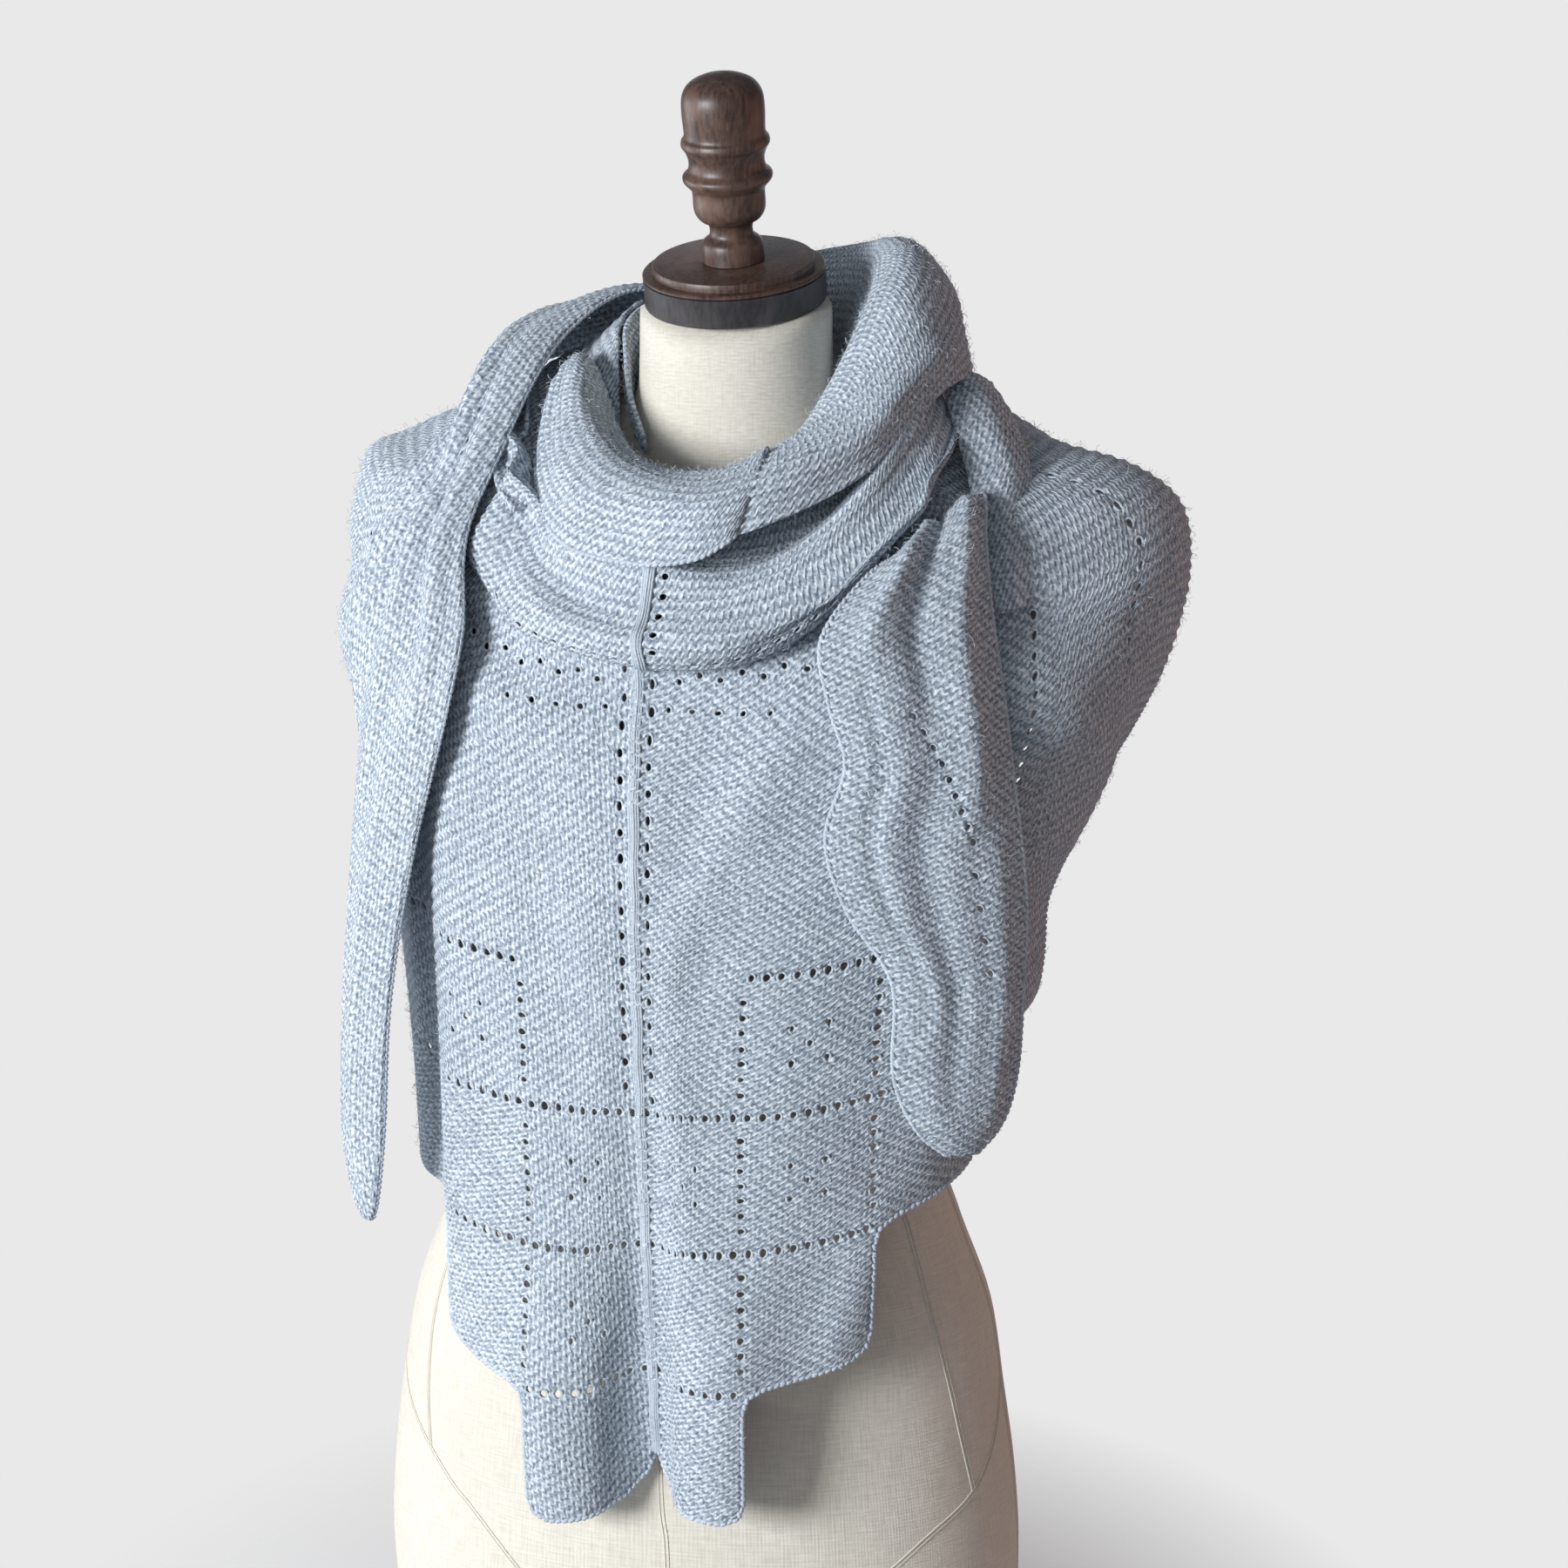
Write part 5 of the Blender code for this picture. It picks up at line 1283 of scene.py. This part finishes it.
# %% Knit the cowl and the tails
strips, trims = {}, []
for name, row in STRIPS.items():
    strip = Strip(row["net"], row.get("folds", []), row.get("seat", 0.0), row.get("pressed", 0))
    holes = [hole for line in row.get("eyelets", []) for hole in strip.eyelets(*line)]
    slopes = Slopes([math.radians(row["slope"])])
    item, skin = knit_shell(name + "_cloth", strip.outline(), holes, slopes, strip.place, knit_wool)
    if holes:
        rims = eyelet_rims(holes, strip.place)
        trims.append((name, strands(name + "_rims", rims, RIM_YARN, shaded_yarn_wool, 0.0, 5, True)))
    strips[name] = strip, item, skin
    edges = row.get("edges", [])
    runs = [run for edge in edges for run in edge_chain(strip.edge(*edge), strip.place)]
    if runs:
        trims.append((name, strands(name + "_selvedge", runs, SELVEDGE_YARN, yarn_wool)))
    print(name, len(item.data.polygons), "triangles", round(float(strip.run[-1]), 3), "m long")

# %% The spine goes on over the second fold
FOLD_SPINE = 0.425
SPINE_YARN = 0.0008
RIB_HALF = 0.0022
RIB_PITCH = 0.0011
RIB_LIFT = 0.0012
fold_strip = strips["cowl_fold"][0]
fold_ribs = []
for k in range(RIB_STRANDS):
    v = fold_strip.run[-1] * FOLD_SPINE - RIB_HALF + RIB_PITCH * k
    wide = float(np.interp(v, fold_strip.run, fold_strip.wide))
    corners = [(share * wide, v + 0.0003 * math.sin(6.0 * k + 30.0 * share))
               for share in np.linspace(-0.30, 0.49, 24)]
    fold_ribs.append(flat_run(corners, fold_strip.place, RIB_LIFT - abs(k - 2) * 0.0003)[0])
# The fold's spine takes the darker copy of the yarn too, painted shade.
trims.append(("cowl_fold", strands("fold_spine_stitches", fold_ribs, SPINE_YARN, shaded_yarn_wool, 0.0)))

# %% [markdown]
# ## The dress form
# The form is a padded shell under plain-weave linen, cut in panels whose seams run
# over the bust and down the middle. A finer loft on the model's own rings gives it a
# smooth outline. The seams are a low welt with stitches, laid along the surface.

# %% Rings of the form
FORM_RINGS = [
    # z_front, z_side, z_back, half_width, front, back, middle_x
    (0.0184, 0.0184, 0.0184, 0.162, 0.101, 0.099, -0.013),
    (0.0500, 0.0500, 0.0500, 0.174, 0.110, 0.110, -0.013),
    (0.1000, 0.1000, 0.1000, 0.178, 0.113, 0.118, -0.013),
    (0.1500, 0.1500, 0.1500, 0.175, 0.111, 0.120, -0.013),
    (0.2000, 0.2000, 0.2000, 0.168, 0.106, 0.115, -0.013),
    (0.2500, 0.2500, 0.2500, 0.159, 0.099, 0.106, -0.012),
    (0.3000, 0.3000, 0.3000, 0.140, 0.091, 0.091, -0.011),
    (0.3500, 0.3500, 0.3500, 0.124, 0.088, 0.081, -0.009),
    (0.4200, 0.4200, 0.4200, 0.132, 0.104, 0.088, -0.006),
    (0.4650, 0.4700, 0.4700, 0.144, 0.124, 0.097, -0.004),
    (0.5050, 0.5150, 0.5200, 0.152, 0.134, 0.105, -0.002),
    (0.5450, 0.5650, 0.5700, 0.160, 0.127, 0.110, 0.001),
    (0.5850, 0.6150, 0.6200, 0.176, 0.114, 0.112, 0.004),
    (0.6150, 0.6720, 0.6700, 0.187, 0.103, 0.107, 0.008),
    (0.6350, 0.7030, 0.6980, 0.179, 0.092, 0.095, 0.0095),
    (0.6500, 0.7208, 0.7160, 0.151, 0.082, 0.082, 0.0115),
    (0.6600, 0.7270, 0.7290, 0.112, 0.072, 0.068, 0.009),
    (0.6720, 0.7320, 0.7390, 0.078, 0.060, 0.056, 0.009),
    (0.6860, 0.7380, 0.7480, 0.056, 0.050, 0.050, 0.009),
    (0.7160, 0.7460, 0.7620, 0.0500, 0.0475, 0.0480, 0.009),
    (0.7697, 0.7825, 0.7945, 0.0485, 0.0468, 0.0468, 0.009),
]


def form_point(row, turn):
    z_front, z_side, z_back, wide, front, back, middle = row
    s, c = np.sin(turn), np.cos(turn)
    power = 2.0 / 2.12
    x = wide * np.sign(s) * np.abs(s)**power + middle
    y = np.where(c > 0, -front * np.abs(c)**power, back * np.abs(c)**power)
    z = np.where(c > 0, z_side + (z_front - z_side) * c**2, z_side + (z_back - z_side) * c**2)
    return np.column_stack([x, y, z])


def lathe_mesh(name, rings, finish, scale):
    """Closed loft through rings of points, with a UV map in metres round and up."""
    sides, count = len(rings[0]), len(rings)
    verts = np.vstack(rings + [np.mean(rings[0], axis=0)[None], np.mean(rings[-1], axis=0)[None]])
    faces = []
    for k in range(count - 1):
        for i in range(sides):
            a, b = k * sides + i, k * sides + (i + 1) % sides
            faces += [(a, b, b + sides), (a, b + sides, a + sides)]
    for i in range(sides):
        faces.append((count * sides, (i + 1) % sides, i))
        faces.append((count * sides + 1, (count - 1) * sides + i, (count - 1) * sides + (i + 1) % sides))
    item = mesh_object(name, verts, np.array(faces), finish)
    around = item.data.uv_layers.new(name="around")
    index = np.array(faces)
    turn = (index % sides) / sides
    turn = np.where((turn.max(axis=1, keepdims=True) > 0.9) & (turn < 0.1), turn + 1.0, turn)
    flat = np.stack([turn * scale, verts[index][:, :, 2]], axis=2)
    around.data.foreach_set("uv", flat.ravel())
    return item


# %% Linen finish


def linen_finish():
    """Plain-weave linen, 11 threads to the centimetre; slubs make some threads thicker."""
    cloth = Finish("plain_weave_linen", {
        "Roughness": 0.85, "IOR": 1.5, "Specular IOR Level": 0.25, "Sheen Weight": 0.12})
    chart = cloth.add("ShaderNodeUVMap", uv_map="around").outputs[0]
    threads, slubs = [], []
    for way, stretch in (("X", (60.0, 900.0, 1.0)), ("Y", (900.0, 60.0, 1.0))):
        threads.append(cloth.add("ShaderNodeTexWave", {
            "Vector": chart, "Scale": 1100.0 / math.tau, "Distortion": 1.2, "Detail Scale": 60.0},
            bands_direction=way).outputs[1])
        long = cloth.add("ShaderNodeMapping", {"Vector": chart, "Scale": stretch}).outputs[0]
        slubs.append(cloth.noise(long, 1.0, 3.0))
    slub = cloth.math("ADD", *slubs)
    fresh = cloth.blend(cloth.ramp(slub, 0.75, 1.25), "#cdc8bb", "#e0dcd0")
    worn = cloth.ramp(cloth.noise(cloth.place, 14.0, 5.0), 0.45, 0.75, 0.0, 0.35)
    height = cloth.math("ADD", slub, cloth.math("MULTIPLY", *threads))
    return cloth.complete(cloth.blend(worn, fresh, "#cdc7b8"), height, 0.35, 0.0004)


linen = linen_finish()
FORM_SIDES = 96
turns = np.linspace(0.0, math.tau, FORM_SIDES, endpoint=False)
form = lathe_mesh("linen_form", [form_point(row, turns) for row in smooth_run(FORM_RINGS, 110)], linen, 1.0)
print("form", len(form.data.polygons), "triangles")

# %% Sewn seams of the form
SEAMS = [
    # name, degrees round the form and height of its corners
    ("centre_front", [(-2, 0.60), (0, 0.30), (2, 0.18), (4, 0.14), (5, 0.03)]),
    ("princess_right", [(66, 0.45), (70, 0.31), (70, 0.26), (72, 0.21), (74, 0.165)]),
    ("leg_right", [(90, 0.21), (82, 0.185), (74, 0.165), (64, 0.15), (56, 0.135), (30, 0.085), (8, 0.06)]),
    ("princess_left", [(-66, 0.45), (-68, 0.31), (-68, 0.26), (-66, 0.21), (-62, 0.17)]),
    ("leg_left", [(-88, 0.215), (-62, 0.17), (-54, 0.155), (-48, 0.145),
                  (-36, 0.12), (-20, 0.085), (-5, 0.06)]),
    ("centre_back", [(180.0, 0.70), (180.0, 0.40), (180.0, 0.03)]),
    ("princess_back_right", [(128.0, 0.64), (132.0, 0.40), (134.0, 0.03)]),
    ("princess_back_left", [(-128.0, 0.64), (-132.0, 0.40), (-134.0, 0.03)]),
    ("shoulder_left_seam", [(-91.0, 0.725), (-91.0, 0.60), (-91.0, 0.40), (-91.0, 0.03)]),
    ("shoulder_right_seam", [(91.0, 0.725), (91.0, 0.60), (91.0, 0.40), (91.0, 0.03)]),
]


def on_form(degrees, height):
    """Point and normal of the form at an angle round it and a height."""
    a = math.radians(degrees)
    out = Vector((math.sin(a), -math.cos(a), 0.0))
    hit, place, normal, _ = form.ray_cast(Vector((-0.012, 0.0, height)) + out * 0.5, -out)
    return (np.array(place), np.array(normal)) if hit else None


welt_runs, stitch_runs = [], []
for name, corners in SEAMS:
    line = smooth_run(corners, 120)
    hits = [h for h in (on_form(a, z) for a, z in line) if h is not None]
    points = np.array([h[0] for h in hits])
    normals = np.array([h[1] for h in hits])
    welt_runs.append(points + normals * 0.0001)
    across = np.cross(normals, np.gradient(points, axis=0))
    across /= np.maximum(np.linalg.norm(across, axis=1, keepdims=True), 1e-9)
    beside = points + across * 0.0021 + normals * 0.0002
    stitch_runs += chain_runs(beside, normals, 0.0030, 0.0, 0.0002)
seam_welts = strands("form_seam_welts", welt_runs, 0.00045, linen, 0.0, 6)
seam_stitches = strands("form_seam_stitches", stitch_runs, 0.00022, linen, 0.3, 4)

# %% Turned wood


def wood_finish(name, light, dark, edge, roughness):
    """Hardwood turned on a lathe, stained dark and waxed: fine grain along the axis."""
    wood = Finish(name, {"Roughness": roughness, "IOR": 1.5, "Coat Weight": 0.10, "Coat Roughness": 0.35})
    along = wood.add("ShaderNodeMapping", {"Vector": wood.place, "Scale": (420.0, 420.0, 34.0)}).outputs[0]
    grain = wood.noise(along, 1.0, 5.0, 0.7)
    ground = wood.blend(wood.ramp(grain, 0.35, 0.68), dark, light)
    rubbed = wood.ramp(wood.noise(wood.place, 45.0, 3.0), 0.50, 0.78, 0.0, 0.55)
    return wood.complete(wood.blend(rubbed, ground, edge), grain, 0.35, 0.0005)


stained = wood_finish("stained_turned_hardwood", "#5e483e", "#2f211d", "#84695c", 0.42)
blackened = wood_finish("blackened_hardwood_rim", "#3a3739", "#232224", "#5a5458", 0.45)

# %% Cap and finial on the lathe
NECK_TOP = 0.785
NECK_TILT = math.radians(15.0)
CAP_RADIUS = 0.0464
CAP_HEIGHT = 0.018
CAP_STEP_RADIUS = 0.0412
CAP_STEP_HEIGHT = 0.004
FINIAL_LENGTH = 0.0940
FINIAL_OUTLINE = [
    (0.00, 0.0158), (0.10, 0.0150), (0.14, 0.0112), (0.20, 0.0114),
    (0.23, 0.0155), (0.28, 0.0180), (0.38, 0.0183), (0.41, 0.0200),
    (0.44, 0.0223), (0.47, 0.0223), (0.50, 0.0196), (0.55, 0.0190),
    (0.60, 0.0205), (0.63, 0.0222), (0.66, 0.0218), (0.69, 0.0203),
    (0.80, 0.0207), (0.89, 0.0200), (0.95, 0.0165), (0.985, 0.0100), (1.0, 0.0035),
]


def turned(name, outline, finish, sides=72):
    """Turned piece on the leaning axis of the neck."""
    c, s = math.cos(NECK_TILT), math.sin(NECK_TILT)
    rings = []
    for height, radius in outline:
        turn = np.linspace(0.0, math.tau, sides, endpoint=False)
        x, y = radius * np.cos(turn), radius * np.sin(turn)
        rings.append(np.column_stack([NECK_X + x, y * c - height * s, NECK_TOP + y * s + height * c]))
    item = lathe_mesh(name, rings, finish, math.tau * 0.045)
    item.data.set_sharp_from_angle(angle=math.radians(32))
    return item


r, h = CAP_RADIUS, CAP_HEIGHT
rim = [(0.0006, r - 0.0016), (0.0010, r - 0.0006), (0.0020, r), (h * 0.45, r - 0.0002),
       (h - 0.0026, r), (h - 0.0021, r - 0.0009)]
lid = [(h - 0.0020, r - 0.0010), (h - 0.0017, r), (h - 0.0008, r), (h - 0.0002, r - 0.0006), (h, r - 0.0018),
       (h, CAP_STEP_RADIUS + 0.0003), (h + 0.0004, CAP_STEP_RADIUS),
        (h + CAP_STEP_HEIGHT - 0.0010, CAP_STEP_RADIUS),
       (h + CAP_STEP_HEIGHT - 0.0002, CAP_STEP_RADIUS - 0.0004),
        (h + CAP_STEP_HEIGHT, CAP_STEP_RADIUS - 0.0014)]
cap_rim = turned("neck_cap_rim", rim, blackened)
cap_lid = turned("neck_cap_lid", lid, stained)
start = h + CAP_STEP_HEIGHT + 0.0004
fine = smooth_run(FINIAL_OUTLINE, 90)
finial = turned("turned_finial", [(start + share * FINIAL_LENGTH, radius) for share, radius in fine], stained)
print("finial", len(finial.data.polygons), "triangles")

# %% [markdown]
# ## Riding, replacing and finishing
# The shawl doesn't move, so every piece rides on the one body. The finer pieces
# stand for the solids that they replace.

# %% Loose fibres
FUZZ_COUNTS = {
    "cowl_flap": 2400, "neck_band_right": 3600, "cowl_fold": 2000, "tail_left": 4200,
    "tail_right": 3200, "loop_fold": 400, "left_hollow": 700, "neck_band_left": 700}
mantle_fuzz = fuzz("loose_fibres_mantle", mantle_skin, 16000, 3)
for k, (name, number) in enumerate(FUZZ_COUNTS.items()):
    trims.append((name, fuzz(name + "_fibres", strips[name][2], number, 5 + k)))

# %% Ride on the body and stand for the solids
MANTLE_NODES = ("front_panel", "shoulder_left", "shoulder_right", "wing_left_back", "wing_right_back")
mantle_trims = [mantle_rims, hem, spine, mantle_fuzz]
PIECES = [(mantle, "wool_knit", MANTLE_NODES)]
PIECES += [(piece, "wool_knit", ()) for piece in mantle_trims + [piece for _, piece in trims]]
for name, (_, item, _) in strips.items():
    PIECES.append((item, "wool_knit", [name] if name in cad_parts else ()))
PIECES += [(form, "linen", ["torso"]), (seam_welts, "linen", ()), (seam_stitches, "linen", ()),
           (cap_rim, "dark_wood", ["neck_cap"]), (cap_lid, "dark_wood", ()),
           (finial, "dark_wood", ["finial"])]
for piece, slot, nodes in PIECES:
    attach(piece, "root")
    if nodes:
        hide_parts(*nodes)
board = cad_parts["base_board"].data
board.materials.clear()
board.materials.append(stained)

# %% Flat outlines of the strips, worked out again


for name, (strip, item, _) in strips.items():
    strip.outline()

# %% Update the view layer
bpy.context.view_layer.update()
